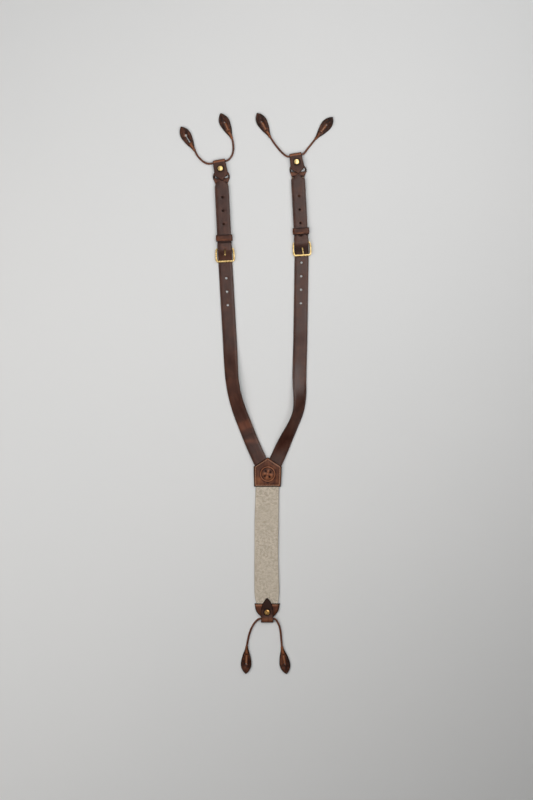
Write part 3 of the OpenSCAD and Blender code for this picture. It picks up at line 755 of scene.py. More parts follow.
# a darker brass for the rear screw cap
DARKER_BRASS = brass_material("darker_brass", (0.40, 0.19, 0.05), (0.62, 0.35, 0.11), (0.80, 0.54, 0.23))
THREAD = thread_material()
WEBBING = webbing_material()


# ---------------------------------------------------------------- camera, then cords

VIEW_X, VIEW_Y, VIEW_H, CAMERA_Z = 0.0169, -0.0107, 1.424, 6.0
camera_data = bpy.data.cameras.new("camera")
camera = bpy.data.objects.new("camera", camera_data)
camera_data.lens = camera_data.sensor_width / 2 / (VIEW_H / 2 / CAMERA_Z)
camera_data.clip_end = 50.0
camera.location = (VIEW_X, VIEW_Y, CAMERA_Z)
bpy.context.scene.collection.objects.link(camera)
bpy.context.scene.camera = camera

CORD_NAMES = (("outer", "inner"), ("inner", "outer"), ("right", "left"))
CORD_BODIES = ("left_cord", "right_cord", "rear_cord")
PREFIX = ("left", "right", "rear")
CORD_NODES = ("left_rolled_cord", "right_rolled_cord", "rear_rolled_cord")
MOUTH = 10.9


def cord_half(k, end):
    """The route's points from the tunnel's mouth to a tab, smooth, in the row frame."""
    route = np.array(CORD_ROUTES[k], float)
    if end == 0:
        half = route[route[:, 0] < 0][::-1]
    else:
        half = route[route[:, 0] > 0]
    half[0, 0] = math.copysign(MOUTH, half[0, 0])
    line = resample(catmull(half, 8), 0.7, 3)
    return TUNNEL[k](line)


def level_line(start, end, z, count):
    """Points on a straight line at one height."""
    return np.column_stack([np.linspace(start, end, count), np.full(count, z)])


cords = []
for k in range(3):
    for end in (0, 1):
        line = cord_half(k, end)
        wobble = 1 + 0.012 * np.sin(lengths(line) * 0.9 + k + end)
        name = f"{PREFIX[k]}_{CORD_NAMES[k][end]}_rolled_leather"
        rod = tube(line, CORD_R * wobble, 18, seam=-1.2 if end else -1.9)
        obj = solid(name, [rod], CORD, CORD_BODIES[k], CORD_NODES[k:k + 1], seed=3 + k * 2 + end)
        cords.append((obj, line, k, end))
    core = TUNNEL[k](level_line((-MOUTH + 0.02, 0), (MOUTH - 0.02, 0), TUNNEL_Z, 24))
    solid(f"{PREFIX[k]}_cord_in_tunnel", [tube(core, CORD_R, 18)], CORD, CORD_BODIES[k], seed=12 + k)


# ---------------------------------------------------------------- shoulder straps

def strap_bottom(u):
    """Height of the strap's underside above the table, by its place along the front end."""
    at = [-400, -22, -19.5, -17, -3, 0, 3, 11, 14, 400]
    z = [0, 0, 0.15, 0.9, FOLD_TOP - 0.4, FOLD_TOP + 0.1, FOLD_TOP - 0.05, STRAP_Z + 0.1, STRAP_Z, STRAP_Z]
    return np.interp(u, at, z)


def circle(x, y, r, n=28):
    t = 2 * np.pi * np.arange(n) / n
    return np.stack([x + r * np.cos(t), y + r * np.sin(t)], -1)


def slot_loop(x0, x1, y0, y1, r, n=7):
    """A closed loop round a box with round corners."""
    out = []
    left, right, low, high = x0 + r, x1 - r, y0 + r, y1 - r
    for i, (cx, cy) in enumerate(((right, high), (left, high), (left, low), (right, low))):
        out += list(arc(cx, cy, r, 90 * i, 90 * i + 90, n))
    return dense(np.array(out), 2.0)


def strap_path(k):
    u = np.arange(TIP_U, FOLD_U[k], -1.0)
    shift = np.where(u < KINK_U, (u - KINK_U) * math.tan(math.radians(KINK[k])), 0)
    front = FRONT[k](np.stack([shift, u, strap_bottom(u) + STRAP_T / 2], -1))
    front = np.column_stack([front, np.zeros(len(u)), u])
    rear = catmull(REAR_ROUTES[k], 14)
    roll = np.radians(rear[:, 3])
    mid = rear[:, 2] + STRAP_W / 2 * np.sin(np.abs(roll)) + STRAP_T / 2 * np.cos(roll)
    rear = np.column_stack([rear[:, 0], rear[:, 1], mid, roll, np.full(len(rear), -999.0)])
    rows = resample(np.concatenate([front, rear]), 1.0, 3)
    wide = blurred(rows, 6.0)
    tight = blurred(rows, 1.3)
    rows[:, :2], rows[:, 2], rows[:, 3] = wide[:, :2], tight[:, 2], blurred(rows, 9.0)[:, 3]
    forward = unit(np.gradient(rows[:, :3], axis=0))
    side = unit(np.stack([forward[:, 1], -forward[:, 0], np.zeros(len(rows))], -1))
    up = np.cross(side, forward)
    c, s = np.cos(rows[:, 3:4]), np.sin(rows[:, 3:4])
    bend = Bend(rows[:, :3], side * c + up * s, up * c - side * s, STRAP_T)
    bend.u = rows[:, 4]
    return bend


def hole_u(k, i):
    """Where adjusting hole i is, counted from the tip."""
    return FIRST_HOLE_U[k] - i * HOLE_PITCH + (HOLE_SHIFT[k] if i < 3 else 0)


def strap_s(bend, u):
    """The distance along the strap's bend, from its tip, at a place u."""
    front = bend.u > -900
    return float(np.interp(-u, -bend.u[front], bend.s[front]))


NOSE = (((5.6, 2.6), (9.6, 6.0), (12.5, 10.0)), ((5.4, 5.0), (8.8, 7.8), (12.5, 9.2)))

for k, side in enumerate(SIDES):
    bend = strap_path(k)
    length = bend.length
    half = STRAP_W / 2
    nose = [(1.2, 0.35), *NOSE[k], (half, length)]
    outline = rounded([*nose, *[(-x, y) for x, y in nose[::-1]]], 1.6)
    marks = [strap_s(bend, hole_u(k, i)) for i in range(8)]
    marks.append(marks[-1] + HOLE_PITCH)
    holes = [circle(0, s, 2.0) for i, s in enumerate(marks) if i != 4 and (k, i) != (0, 5)]
    prong_hole = ((-0.4, -6.4), (-8.6, -15.0))[k]
    slot = slot_loop(-1.3, 1.3, strap_s(bend, prong_hole[0]), strap_s(bend, prong_hole[1]), 1.2)
    slot[:, 0] -= k * (1.2 + 0.09 * (slot[:, 1] - slot[:, 1].min()))
    holes.append(slot)

    # raised waves and dished holes
    def strap_relief(x, y, d, marks=marks, seed=k):
        ripple = 0.10 * np.sin(y * 0.061 + 1.3 * seed) * np.sin(y * 0.023 + x * 0.08)
        dish = sum(-0.12 * hump(np.hypot(x, y - m), 5.2) for m in marks)
        shoulder = -0.62 * (1 - smooth01((half - np.abs(x)) / 2.6))
        return (ripple + dish) * smooth01((d - 0.2) / 1.5) + shoulder * smooth01(d / 0.8)

    # painted shade round the holes, a painted shadow below the keeper, painted highlight bands on the left
    # strap's kink, a painted sheen above the buckle's bar with painted shade below it, and painted shade in
    # the crease with a painted highlight beside it
    def strap_tint(x, y, d, marks=marks, seed=k, end=length, crest=strap_s(bend, 0.0),
                   loop_end=strap_s(bend, KEEPER_U[k] - 6.5), dull=strap_s(bend, FOLD_U[k] + 2)):
        back = end - y
        # painted highlight bands where the left strap kinks, with painted shade between them
        kink_light_bands = ((0.42 * hump(back - 92, 9, 4) + 0.40 * hump(back - 62 - 0.4 * x, 5)
                   - 0.5 * hump(back - 73, 4)) if seed == 0 else 0.0 * y)
        # painted shade at the rims of the dished holes
        ring = sum(-0.45 * hump(np.hypot(x, y - m) - 2.1, 0.5) for m in marks)
        notch = 1.3 * seed * hump(x, 2.5)
        # painted shadow cast by the keeper, lower and wider at the middle of the right strap
        ring = ring - 1.8 * hump(y - loop_end - 0.6 - notch * 0.5, 1.4 + 0.5 * notch, 4)
        ring = ring - 0.28 * seed * hump(y - dull, 14)
        # painted sheen on the slope above the buckle's bar, painted shade below the bar
        ring = ring + (0.12, 0.10)[seed] * hump(y - crest + 7, 5, 4) * (0.6 + 0.4 * np.sin(x * 1.3 + 1))
        ring = ring - (0.25, 0.7)[seed] * hump(y - crest - 12, 8, 4)
        patch = 0.10 * hump(y - marks[4] + 6, 7)
        # painted shade in the crease with a painted highlight beside it
        line = 0.30 * hump(d - 2.9, 0.55) - 0.45 * hump(d - 2.0, 0.45)
        return kink_light_bands + ring + patch + line

    strap = leather(f"{side}_shoulder_strap", outline, STRAP_T, bend, STRAP, None,
                    (f"{side}_rear_strap", f"{side}_front_strap"), holes, r=0.75, step=2.6,
                    grid=3.2, crease=2.0, depth=0.22, relief=strap_relief, tint=strap_tint, seed=1 + k)
    # under the yoke the two straps meet, and each ends at the middle
    cut = bmesh.new()
    cut.from_mesh(strap.data)
    away = (-1, 1)[k]
    bmesh.ops.bisect_plane(cut, geom=cut.verts[:] + cut.edges[:] + cut.faces[:], dist=1e-6,
                           plane_co=((CENTRE_X + away * 0.15) * MM, 0, 0), plane_no=(-away, 0, 0),
                           clear_outer=True)
    bmesh.ops.holes_fill(cut, edges=[e for e in cut.edges if e.is_boundary], sides=0)
    bmesh.ops.recalc_face_normals(cut, faces=cut.faces)
    cut.to_mesh(strap.data)
    cut.free()
    fold = Vector(JOINTS[f"{side}_shoulder_fold"]["pos_m"])
    reach = Vector((0, 0.028, 0))
    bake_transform(strap)


# ---------------------------------------------------------------- billets, keepers, buckles

for k, side in enumerate(SIDES):
    line = [(11.5, 0.9), (0.0, 0.9), *arc(0, BAR_Z, 2.4, 270, 90, 24)[1:], (2, 5.6), (10, 2.79),
            (12.5, 2.7), (139, 2.7)]
    bend = profile_bend(line, BILLET_T, FRONT[k], blur=0.35)
    at = lambda u: crossings(bend, u)[-1]
    widths = catmull([(0, 11.6), (11.5, 12.6), (at(4), 13.1), (at(13), 12.3), (at(24), 12.0), (at(60), 12),
                      (at(108), 12), (at(113), 11.7), (at(117), 11.3), (at(121), 12.8), (at(126), 14.8),
                      (at(131), 15.0), (at(135.5), 13.4), (bend.length - 0.4, 10.6)], 6)
    outline = mirrored(widths)
    outline[:, 0] += 1.2 * k * hump(outline[:, 1] - at(0.0) - 127, 7)
    outline = rounded(outline, 1.2)
    prong_gap = slot_loop(-1.9, 1.9, 11.5 - 3.6, crossings(bend, 3.6)[-1], 1.2)
    head_slot = slot_loop((-11.3, -11.6)[k], (12.1, 13.3)[k], at(126.8), at(132.5), 2.2)

    def billet_relief(x, y, d, seed=k):
        return 0.08 * np.sin(y * 0.09 + seed) * smooth01((d - 0.3) / 1.2)

    below = [at(hole_u(k, i)) for i in range(4)]

    # painted shadow either side of the strap's tip, a painted highlight on the bridge of the head, and
    # painted shade on the billet under the strap's holes and near the edges round the head's slot
    def billet_tint(x, y, d, base=at(118.0), bridge=at(123.2), below=below, bridge_highlight=(0.05, 0.45)[k]):
        gap = -1.0 * hump(np.abs(x) - 7.2, 3.4, 4) * hump(y - base, 1.9, 4)
        bar = bridge_highlight * hump(y - bridge, 1.9)
        under = sum(-1.0 * hump(np.hypot(x, y - m), 2.5, 4) for m in below)
        ears = -0.8 * hump(y - bridge - 5.5, 3.4, 4) * (d < 2.2)
        return gap + bar * (np.abs(x) > 1) + under + ears

    leather(f"{side}_billet_leather", outline, BILLET_T, bend, WARM, f"{side}_front_end",
            (f"{side}_billet",), [prong_gap, head_slot], r=0.6, step=1.8, grid=2.6, crease=1.9, depth=0.14,
            relief=billet_relief, tint=billet_tint, seed=4 + k)
    parts = []
    for sx in (-1, 1):
        parts += stitch_row(FRONT[k], (sx * 11.2, 116.2), (sx * 8.0, 116.2), 1, lambda x, y: 3.62, tilt=0.0,
                            length=3.4, width=1.0)
    solid(f"{side}_bar_thread", parts, THREAD, f"{side}_front_end", (f"{side}_bar_stitches",), seed=7 + k)

    half_w, low, high, cr = 13.7, 0.75, 7.15, 1.3
    loop = [(0.05, low)]
    for sx, sz, cz in ((1, 3, low + cr), (1, 0, high - cr), (-1, 1, high - cr), (-1, 2, low + cr)):
        loop += list(arc(sx * (half_w - cr), cz, cr, 90 * sz, 90 * sz + 90, 6))
    loop.append((-0.05, low))
    bend = profile_bend(loop, 1.5, FRONT[k].at((0.1, 0.3)[k], KEEPER_U[k]), blur=0.2, plane="xz")
    outline = [(-5.9, 0), (5.9, 0), (5.9, bend.length), (-5.9, bend.length)]

    # a painted highlight line across the loop and paler, redder ends where it turns, painted light; darker
    # along the crease and at the edges
    def keeper_tint(x, y, d, middle=bend.length / 2, gleam=(0.9, 1.6)[k]):
        line = gleam * hump(x + 3.5, 0.9) * hump(y - middle - 1.5, 7.5, 4)
        ends = 0.22 * hump(np.abs(y - middle) - 11.2, 2.6)
        return line + ends - 0.3 * hump(d - 1.5, 0.5) - 0.7 * hump(d, 0.8) - 0.28

    leather(f"{side}_keeper_leather", outline, 1.5, bend, WARM, f"{side}_keeper_loop", (f"{side}_keeper",),
            r=0.55, step=0.9, grid=1.6, crease=1.5, depth=0.13,
            relief=lambda x, y, d: 0.45 * smooth01(d / 5.5), tint=keeper_tint, seed=9 + k)

    # buckle frame: one wire bent round, its sides bowed, with the hinge bar across it
    arm, cr, n = 15.0, 3.4, 8
    reach = (BUCKLE_L, BUCKLE_L + 0.8)[k]
    ring = []
    for cx, cy, a in ((arm - cr, -cr, 0), (-arm + cr, -cr, 90)):
        ring += list(arc(cx, cy + 1.4, cr, a, a + 90, n))
    for cx, cy, a in ((-arm + cr, -reach + cr, 180), (arm - cr, -reach + cr, 270)):
        ring += list(arc(cx, cy, cr, a, a + 90, n))
    ring = resample(np.array(ring + ring[:1]), 0.7, 2)[:-1]
    bow = 0.75 * np.sign(ring[:, 0]) * np.clip(1 - ((ring[:, 1] + BUCKLE_L / 2) / (BUCKLE_L / 2)) ** 2, 0, 1)
    ring[:, 0] += bow * (np.abs(ring[:, 0]) > arm - 2)
    narrow = (1.0, 0.93)[k]
    ring[:, 0] = np.where(ring[:, 0] < 0, ring[:, 0] * narrow, ring[:, 0])
    z = BAR_Z + (FRONT_BAR_Z - BAR_Z) * np.clip(-ring[:, 1] / BUCKLE_L, 0, 1)
    thick = 1.45 + 0.38 * np.clip(-ring[:, 1] / BUCKLE_L, 0, 1) ** 2
    z = z + (thick - 1.45)
    wire = FRONT[k](np.column_stack([ring, z]))
    bar = FRONT[k](level_line((-arm * narrow, 0), (arm, 0), BAR_Z, 40))
    solid(f"{side}_buckle_frame_brass", [tube(wire, thick, 18, closed=True), tube(bar, 1.38, 18)], BRASS,
          f"{side}_buckle", (f"{side}_buckle_frame",), seed=11 + k)

    # prong: a band wrapped round the hinge bar, drawn out into a tapering pin
    angle = math.radians(PRONG_ANGLE[k])
    eye = arc(0, BAR_Z, 2.18, 0, 360, 40)[:-1]
    eye3 = FRONT[k](np.stack([np.zeros(40), eye[:, 0], eye[:, 1]], -1))
    eye_tube = tube(eye3, 0.70, 14, closed=True, squash=(1.0, 2.2), start_up=tuple(
        FRONT[k](np.array([1.0, 0, 0])) - FRONT[k](np.zeros(3))))
    run = np.linspace(0, 1, 44)
    out = 1.8 + run * (20.6, 22.6)[k]
    drop = -0.35 * smooth01((run - 0.55) / 0.45) - (0.0, 0.4)[k] * np.sin(np.pi * run)
    sway = 0.4 * run if k == 0 else 0.9 * smooth01(run / 0.25) + 1.9 * run ** 1.5
    shaft = np.stack([sway, -out * math.cos(angle) - drop * math.sin(angle),
                      BAR_Z + out * math.sin(angle) + drop * math.cos(angle)], -1)
    thick = 1.22 - 0.16 * run + (0.35, 0.0)[k] * hump(run - 0.93, 0.07)
    thick = thick * np.sqrt(np.clip(1 - ((run - 0.955) / 0.045) ** 2 * (run > 0.955), 0.02, 1))
    solid(f"{side}_prong_brass", [eye_tube, tube(FRONT[k](shaft), thick, 16)], BRASS, f"{side}_prong",
          (f"{side}_buckle_prong",), seed=13 + k)


# ---------------------------------------------------------------- hangers and screws

CAP_PROFILE = ((0, 0.02), (4.8, 0.02), (5.0, 0.12), (5.06, 0.34), (4.98, 0.60), (4.74, 0.88), (4.30, 1.10),
               (3.7, 1.24), (3.0, 1.34), (2.2, 1.42), (1.3, 1.47), (0.7, 1.48), (0.55, 1.45), (0.45, 1.38),
               (0.3, 1.35), (0, 1.34))
POST_FOOT = ((0, 0.32), (0.9, 0.32), (1.0, 0.12), (1.25, 0.02), (3.9, 0.0), (4.35, 0.12), (4.5, 0.35),
             (4.45, 0.6), (4.3, 0.7), (2.05, 0.7), (2.0, 0.8))


def screw(k, name, body):
    cap = [(SCREW_CAP_SIZE * r, h) for r, h in CAP_PROFILE]
    solid(f"{name}_screw_cap_brass", [lathe(cap, TUNNEL[k].at(0, SCREW_V, 0, SEAT_Z[k]))],
          DARKER_BRASS if k == 2 else BRASS, body, (f"{name}_screw_cap",), seed=15 + k)
    post = [*POST_FOOT, (2.0, SEAT_Z[k] - 0.1), (0, SEAT_Z[k] - 0.1)]
    solid(f"{name}_screw_post_brass", [lathe(post, TUNNEL[k].at(0, SCREW_V))], BRASS, body,
          (f"{name}_screw_post",), seed=18 + k)


for k, side in enumerate(SIDES):
    ret, tongue, under = 4.4, 5.9, 2.55
    line = [(-14.2, under), *arc(-8.9, (ret + under) / 2, (ret - under) / 2, -90, 90, 10),
            *arc(-24.5, (ret + 0.7) / 2, (ret - 0.7) / 2, 90, 270, 14),
            *arc(1.0, TUNNEL_Z, 2.8, -90, 90, 24), (-3, tongue + 0.15), (-5.8, tongue), (-27, tongue),
            (-33.3, tongue + 0.75)]
    bend = profile_bend(line, HANGER_T, TUNNEL[k], blur=0.3, flip=True)
    stops = crossings(bend, SCREW_V)
    narrow_end = crossings(bend, -18.0)[1]
    shoulder = crossings(bend, -23.4)[-1]
    end = bend.length
    roll = crossings(bend, 2.0)[-1]
    outline = mirrored(catmull([
        (0, 9.9), (narrow_end * 0.6, 9.9), (narrow_end - 1, 9.9), (narrow_end + 5, 10.3), (roll - 4, 10.8),
        (roll, 11.0), (roll + 4.5, 11.4), (roll + 12, 11.6), (shoulder - 5, 12.0), (shoulder - 1.0, 11.7),
        (shoulder + 1.5, 9.8), (end - 2.2, 2.6), (end, 0.8)], 7))
    holes = [circle(0, s, 4.55 if i == 2 else 2.1, 36) for i, s in enumerate(stops[:4])]
    seat = stops[3]

    def hanger_relief(x, y, d, seat=seat):
        press = -0.30 * hump(np.hypot(x, y - seat), 6.2)
        crown = 0.16 * smooth01(d / 4.0)
        return (press + crown) * smooth01((y - seat + 22) / 6)

    # a painted highlight along the fold over the cord with painted shade just below it, a painted shadow
    # ring round the screw cap, dark burnished edges with a paler crease line, and the part before the fold,
    # under the billet, painted near black as shade
    def hanger_tint(x, y, d, seat=seat, roll=roll):
        fold = 0.95 * hump(y - roll - 0.6, 1.7) - 0.5 * hump(y - roll - 3.6, 0.9)
        ring = -1.0 * hump(np.hypot(x + 0.3, y - seat - 0.4) - 5.7, 1.4)
        edge = -0.8 * hump(d, 0.9) + 0.22 * hump(d - 2.6, 0.6)
        return np.minimum(fold + ring + edge, 1) - 2.0 * (y < roll - 10)

    leather(f"{side}_hanger_leather", outline, HANGER_T, bend, HANG, f"{side}_hanger_assembly",
            (f"{side}_hanger",), holes, r=0.5, step=1.3, grid=1.5, crease=1.7, depth=0.16,
            relief=hanger_relief, tint=hanger_tint, seed=21 + k)
    screw(k, side, f"{side}_hanger_assembly")


# ---------------------------------------------------------------- button tabs

def tab_outline():
    half = catmull([(0, 2.45), (3.5, 2.7), (8, 3.9), (16, 6.7), (25, 8.8), (32, 9.5), (39, 8.2), (44.5, 5.1),
                    (47.8, 2.2), (TAB_L, 0.15)], 5)
    return mirrored(half)


def keyhole(r, half, reach=34.0, low=None):
    """A buttonhole: a round end towards the tip and a slit back towards the cord, low wide at its end."""
    low = low or half
    turn = math.degrees(math.acos(half / r))
    head = arc(0, TAB_L - 18, r, -turn, 180 + turn, 24)
    slit = [(-low, TAB_L - reach + 0.9), (-0.6 * low, TAB_L - reach), (0.6 * low, TAB_L - reach),
            (low, TAB_L - reach + 0.9)]
    return dense(np.concatenate([head, slit]), 1.2)


def tab_relief(x, y, d):
    ridge = 1.72 * np.sqrt(np.clip(1 - (x / 2.75) ** 2, 0, 1)) * (1 - smooth01((y - 7.5) / 9.0))
    skirt = 0.55 * hump(x, 3.6) * (1 - smooth01((y - 10) / 9.0))
    crown = 0.22 * smooth01(d / 4.5) - 0.25 * hump(np.hypot(x, y - TAB_L + 18), 4.0)
    crease = 0.24 * np.sin(x * 1.15 + 1.7 * np.sin(y * 0.21)) * np.sin(y * 0.33 + x * 0.4)
    return np.maximum(ridge, skirt) + crown + crease * smooth01((d - 0.6) / 2)


# a painted highlight along the ridge where the cord runs in, painted highlight lines along the slit's lips
# and at its round end, and dark edges that are partly burnished and partly painted shade
def tab_tint(x, y, d):
    spine = 0.95 * hump(x, 2.0 + 0.14 * np.clip(y - 8, 0, 14)) * (1 - smooth01((y - 13) / 10))
    lips = 1.6 * hump(x, 0.72, 4) * smooth01((y - 15) / 2) * (1 - smooth01((y - 30) / 1.5))
    round_end = 1.5 * hump(np.hypot(x, y - TAB_L + 18) - 1.9, 0.6) * (x < 0.5)
    patches = 0.34 * np.sin(0.62 * x + 0.35 * y) * np.sin(0.41 * x - 0.5 * y + 1.3)
    body = spine + patches - 1.0 * hump(d, 1.8) * (y > 8)
    return np.maximum(np.minimum(body, 1), np.maximum(lips, round_end))


CURL = ((0.9, 0.5), (0.6, 0.8), (0.5, 0.7))
for k in range(3):
    for end in (0, 1):
        word = CORD_NAMES[k][end]
        place = tab_frame(k, end)
        curl = CURL[k][end]
        buttonhole = keyhole(1.95, 0.60, 32.5, 1.10) if (k, end) == (0, 0) else keyhole(0.95, 0.18)

        def tab_lift(x, y, d, curl=curl):
            return curl * smooth01((y - 30) / 20) + 0.35 * curl * (x / 9.5) ** 2 * smooth01((y - 14) / 10)

        tab = f"{PREFIX[k]}_{word}_tab"
        leather(f"{tab}_leather", tab_outline(), TAB_T, place.at(0, 0, 0, TAB_T), TAB, CORD_BODIES[k],
                (tab,), [buttonhole], step=1.3, grid=1.0, crease=1.6, relief=tab_relief,
                tint=tab_tint, lift=tab_lift, seed=24 + 2 * k + end)
        leather(f"{tab}_backing", tab_outline(), TAB_T, place, WARM, CORD_BODIES[k],
                (f"{tab}_lining",), [buttonhole], step=1.6, grid=2.2, lift=tab_lift, seed=31 + 2 * k + end)

for obj, line, k, end in cords:
    word = CORD_NAMES[k][end]
    path = line * MM
    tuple(path[0])
    float(lengths(path)[-1])


# ---------------------------------------------------------------- yoke

YOKE = Flat(CENTRE_X, -165.0, 0.0)
YOKE_W, YOKE_H, YOKE_SIDE = 49.5, 52.5, 36.0
RING_Y = 22.5
BACK_T, FRONT_T, YOKE_Z = 1.6, 1.8, 4.1

yoke_outline = rounded([(-24.3, 0), (23.4, 0), (25.2, YOKE_SIDE - 0.8), (24.2, YOKE_SIDE + 0.5),
                        (1.6, YOKE_H - 0.6), (-1.6, YOKE_H - 0.6), (-24.0, YOKE_SIDE + 0.8),
                        (-25.0, YOKE_SIDE - 0.4)], 1.4)


def yoke_lift(x, y, d):
    over_web = -0.85 * (1 - smooth01((y - 9) / 12))
    side_gap = YOKE_W / 2 - np.abs(x)
    return over_web - 1.15 * (1 - smooth01(side_gap / 3.6)) * (1 - smooth01((y - 24) / 9))


def yoke_relief(x, y, d):
    rr = np.hypot(x, y - RING_Y)
    angle = np.arctan2(y - RING_Y, x)
    rim = 0.42 * hump(rr - 12.7, 0.85) - 0.34 * hump(rr - 11.0, 0.7)
    rim += -0.28 * hump(rr - 14.4, 0.7)
    petals = 0.46 * hump(rr - 5.4, 2.2) * (0.5 + 0.5 * np.cos(4 * angle + math.pi / 4)) ** 2
    petals -= 0.30 * hump(rr - 5.6, 2.6) * (0.5 - 0.5 * np.cos(4 * angle + math.pi / 4)) ** 2
    hub = 0.40 * hump(rr, 1.4)
    return rim + petals + hub + 0.16 * smooth01(d / 6)


def yoke_tint(x, y, d):
    mark = 2.7 * (yoke_relief(x, y, 0 * d) - 0.01)
    seam = 0.85 * hump(d - 3.0, 0.75)
    rub = 0.28 * hump(x + 17, 6) * hump(y - 12, 13) + 0.22 * hump(x - 17, 6)
    worn = 0.30 * np.sin(0.33 * x + 0.21 * y) * np.sin(0.27 * x - 0.36 * y + 0.8) * (d > 4)
    total = mark * (d > 4) + seam - 1.1 * hump(d, 1.7, 4) + rub - 0.35 * hump(d - 5, 1.2) + worn
    return np.minimum(total, 1)


leather("yoke_front_leather", yoke_outline, FRONT_T, YOKE.at(0, 0, 0, YOKE_Z), WARM, "back",
        ("yoke_front_patch",), r=0.6, step=1.3, grid=1.3, crease=3.0, depth=0.26, relief=yoke_relief,
        lift=yoke_lift, fine=(0.0, RING_Y, 15.5, 0.5), tint=yoke_tint, seed=41)
leather("yoke_back_leather", yoke_outline, BACK_T, YOKE, WARM, "back", ("yoke_back_patch",),
        r=0.55, step=2.0, grid=3.0, crease=1.7, seed=42)


def yoke_top(x, y):
    return float(YOKE_Z + FRONT_T + yoke_lift(x, y, 3.0) - 0.05)


inset = 3.0
top = YOKE_SIDE - 1.2
parts = stitch_row(YOKE, (-21.2, 2.7), (20.3, 2.7), 14, yoke_top, width=0.9)
for sign, low, high in ((-1, 21.3, 22.0), (1, 20.5, 22.0)):
    parts += stitch_row(YOKE, (sign * low, 3.6), (sign * high, top), 10, yoke_top)
    parts += stitch_row(YOKE, (sign * high, top + 0.4), (sign * 1.0, YOKE_H - inset - 1.2), 8, yoke_top)
solid("yoke_thread", parts, THREAD, "back", ("yoke_stitching",), seed=43)


# ---------------------------------------------------------------- elastic webbing

WEB_X, WEB_W, WEB_TOP, WEB_END, WEB_Z, WEB_T = 18.2, 46.0, -153.0, -384.0, 1.65, 1.5
web_frame = Flat(WEB_X, WEB_END, 0.0, WEB_Z)
web_len = WEB_TOP - WEB_END
# place along the webbing from its lower end, then its left and right edges
WEB_EDGES = ((0, -18.6, 18.6), (9, -18.8, 18.8), (17, -20.8, 19.8), (24, -22.0, 20.5),
             (35, -22.7, 21.0), (62, -22.8, 20.3), (90, -22.7, 19.6), (115, -22.5, 19.5),
             (145, -22.5, 19.9), (168, -22.2, 20.2), (195, -21.3, 20.4), (219, -20.7, 20.8),
             (231, -20.6, 20.8))
rows = catmull(WEB_EDGES, 8)
outline = np.concatenate([rows[:, [2, 0]], rows[::-1][:, [1, 0]]])


def web_lift(x, y, d):
    free = smooth01((y - 16) / 30) * smooth01((web_len - 18 - y) / 30)
    return free * (0.28 * np.sin(y * 0.055) * np.sin(x * 0.10 + 0.6) + 0.16 * np.sin(y * 0.021 + 1.0)
                   + 0.35 * (np.abs(x) / 23) ** 3 * (0.5 + 0.5 * np.sin(y * 0.043 + 2.0)))


def web_relief(x, y, d):
    return 0.12 * smooth01(d / 1.4) + 0.05 * np.sin(x * 2 * np.pi / 11.5) * smooth01(d / 2)


web = leather("elastic_webbing_cloth", outline, WEB_T, web_frame, WEBBING, None, ("elastic_webbing",),
              r=0.6, step=2.4, grid=1.15, relief=web_relief, lift=web_lift, seed=0.0)
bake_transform(web)


# ---------------------------------------------------------------- rear end cap

CAP_R, CAP_V, CAP_TOP, CAP_Z, NECK = 21.5, -22.5, -27.1, 3.25, 10.9
REAR = TUNNEL[2]


def cap_side(sign, stop):
    a = math.degrees(math.asin(stop / CAP_R))
    return [(sign * x, y) for x, y in arc(0, CAP_V, CAP_R, 0, a, 22)]


right_side = cap_side(1, 18.3)
outline = [(-23.0, CAP_TOP), (22.4, CAP_TOP), *right_side, *cap_side(-1, 18.3)[::-1]]


def cap_lift(x, y, d):
    beyond = np.maximum(smooth01((np.abs(x) - 18.6) / 3.2), smooth01((y + 15.5) / 4.5))
    near = 1 - smooth01((d - 0.2) / 4.6)
    return -1.55 * near * beyond * smooth01((y + 27.2) / 3.0)


# a painted highlight band just below the top edge, darker right at that edge
def cap_tint(x, y, d):
    band = 0.9 * hump(y - CAP_TOP - 3.2, 1.9) - 1.0 * hump(y - CAP_TOP, 1.5, 4)
    seam = 0.35 * hump(d - 3.0, 0.8)
    return np.minimum(band + seam, 1) - 0.8 * hump(d, 1.1) - 0.30 * smooth01((y - CAP_TOP - 6) / 4)


leather("end_cap_front_leather", outline, HANGER_T, REAR.at(0, 0, 0, CAP_Z), WARM, "rear_end",
        ("end_cap_front",), [circle(0, SCREW_V, 2.1)], r=0.5, step=1.4, grid=1.8, crease=1.6, depth=0.15,
        lift=cap_lift, relief=lambda x, y, d: 0.12 * smooth01(d / 4), tint=cap_tint, seed=44)

tongue_z = 5.45
line = [(CAP_TOP, 0.7), *arc(3.5, TUNNEL_Z, 2.8, -90, 90, 24), (-1.5, 6.25), (-5.6, tongue_z),
        (-37.2, tongue_z)]
bend = profile_bend(line, HANGER_T, REAR, blur=0.35, flip=True)
stops = crossings(bend, SCREW_V)
s_at = lambda v: crossings(bend, v)[-1]
cap_half = [(0, 22.2), (CAP_V - CAP_TOP, 21.5)]
for x, y in right_side[1:]:
    if x > NECK + 0.4:
        cap_half.append((y - CAP_TOP, x))
neck_s = -4.2 - CAP_TOP
tail = catmull([(neck_s + 2.0, NECK), (neck_s + 7, NECK), (s_at(-3), NECK), (s_at(-13), 10.9),
                (s_at(-17.5), 10.5), (s_at(-21.5), 9.6), (s_at(-27), 7.9), (s_at(-32), 4.9),
                (s_at(-35.5), 2.2), (bend.length, 0.3)], 6)
outline = mirrored(cap_half + [tuple(p) for p in tail])
seat = stops[-1]


def cap_back_relief(x, y, d):
    press = -0.30 * hump(np.hypot(x, y - seat), 6.0)
    return (press + 0.18 * smooth01(d / 4.0)) * smooth01((y - seat + 14) / 5)


# a painted shadow ring round the screw cap and a painted highlight over the roll round the cord; the tongue
# is darker
def cap_back_tint(x, y, d):
    ring = -1.0 * hump(np.hypot(x, y - seat) - 5.6, 1.0)
    tongue = -0.55 * smooth01((y - seat - 2) / 4)
    roll = 0.5 * hump(y - s_at(1.5), 4.0)
    return ring + tongue + roll - 0.8 * hump(d, 1.0)


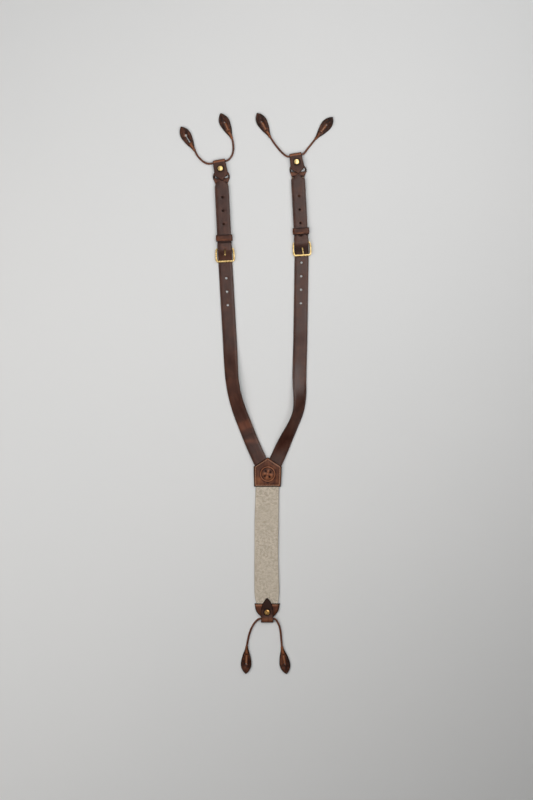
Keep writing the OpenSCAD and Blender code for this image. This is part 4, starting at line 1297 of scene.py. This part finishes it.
leather("end_cap_back_leather", outline, HANGER_T, bend, HANG, "rear_end", ("end_cap_back",),
        [circle(0, stops[0], 4.55, 36), circle(0, stops[-1], 2.1)], r=0.5, step=1.3, grid=1.9, crease=1.7,
        depth=0.15, relief=cap_back_relief, tint=cap_back_tint, seed=45)


def cap_top_face(x, y):
    return CAP_Z + HANGER_T + 0.1 + float(cap_lift(x, y, 2.6))


parts = []
for sign in (-1, 1):
    parts += stitch_row(REAR, (sign * 20.2, -24.5), (sign * 10.8, -24.5), 3, cap_top_face)
solid("end_cap_thread", parts, THREAD, "rear_end", ("end_cap_stitching",), seed=46)
screw(2, "rear", "rear_end")


# ---------------------------------------------------------------- floor and light

FLOOR_HALF, FLOOR_Z = 6.0, -0.0004
floor_mesh = bpy.data.meshes.new("floor")
corners = [(sx * FLOOR_HALF, sy * FLOOR_HALF, FLOOR_Z) for sx, sy in ((-1, -1), (1, -1), (1, 1), (-1, 1))]
floor_mesh.from_pydata(corners, [], [(0, 1, 2, 3)])
floor_mesh.materials.append(floor_material())
floor = bpy.data.objects.new("floor", floor_mesh)
bpy.context.scene.collection.objects.link(floor)


def area_light(name, where, aim, size, energy, colour, diffuse=True, glossy=True):
    data = bpy.data.lights.new(name, "AREA")
    data.shape = "RECTANGLE"
    data.size, data.size_y = size
    data.energy = energy
    data.color = colour
    obj = bpy.data.objects.new(name, data)
    obj.location = where
    obj.rotation_euler = (Vector(aim) - Vector(where)).to_track_quat("-Z", "Y").to_euler()
    obj.visible_camera = False
    obj.visible_diffuse = diffuse
    obj.visible_glossy = glossy
    bpy.context.scene.collection.objects.link(obj)


WHITE, WARM_WHITE, IVORY, CREAM = (1.0, 1.0, 1.0), (1.0, 0.99, 0.97), (1.0, 0.985, 0.965), (1.0, 0.97, 0.93)
area_light("key", (0.35, 0.6, 1.15), (-0.3, 0.86, 0), (1.4, 1.2), 11, WHITE, glossy=False)
area_light("side", (-0.9, -0.25, 1.5), (0.01, 0.2, 0), (1.9, 1.7), 22.6, IVORY, glossy=False)
area_light("ceiling", (0.60, 0.6, 2.8), (0.2, 0.3, 0), (1.3, 1.2), 13, WARM_WHITE, diffuse=False)
area_light("right_sheen", (0.38, 0.2, 0.72), (0.08, 0.1, 0), (0.4, 0.8), 2.6, CREAM, diffuse=False)
area_light("top_sheen", (0.1, 1.45, 1.5), (0.05, 0.23, 0), (0.9, 0.5), 7, CREAM, diffuse=False)
area_light("glint", (0.9, 1.1, 1.5), (0, 0.1, 0), (0.6, 0.5), 6, WARM_WHITE, diffuse=False)
area_light("left_glint", (-1.35, 0.05, 1.6), (0, 0.1, 0), (0.7, 0.7), 2.5, WARM_WHITE, diffuse=False)

world = bpy.data.worlds.new("studio")
bpy.context.scene.world = world
world.use_nodes = True
background = world.node_tree.nodes["Background"]
background.inputs["Color"].default_value = (1.0, 0.99, 0.98, 1)
background.inputs["Strength"].default_value = 0.08
bpy.context.scene.view_settings.view_transform = "Standard"
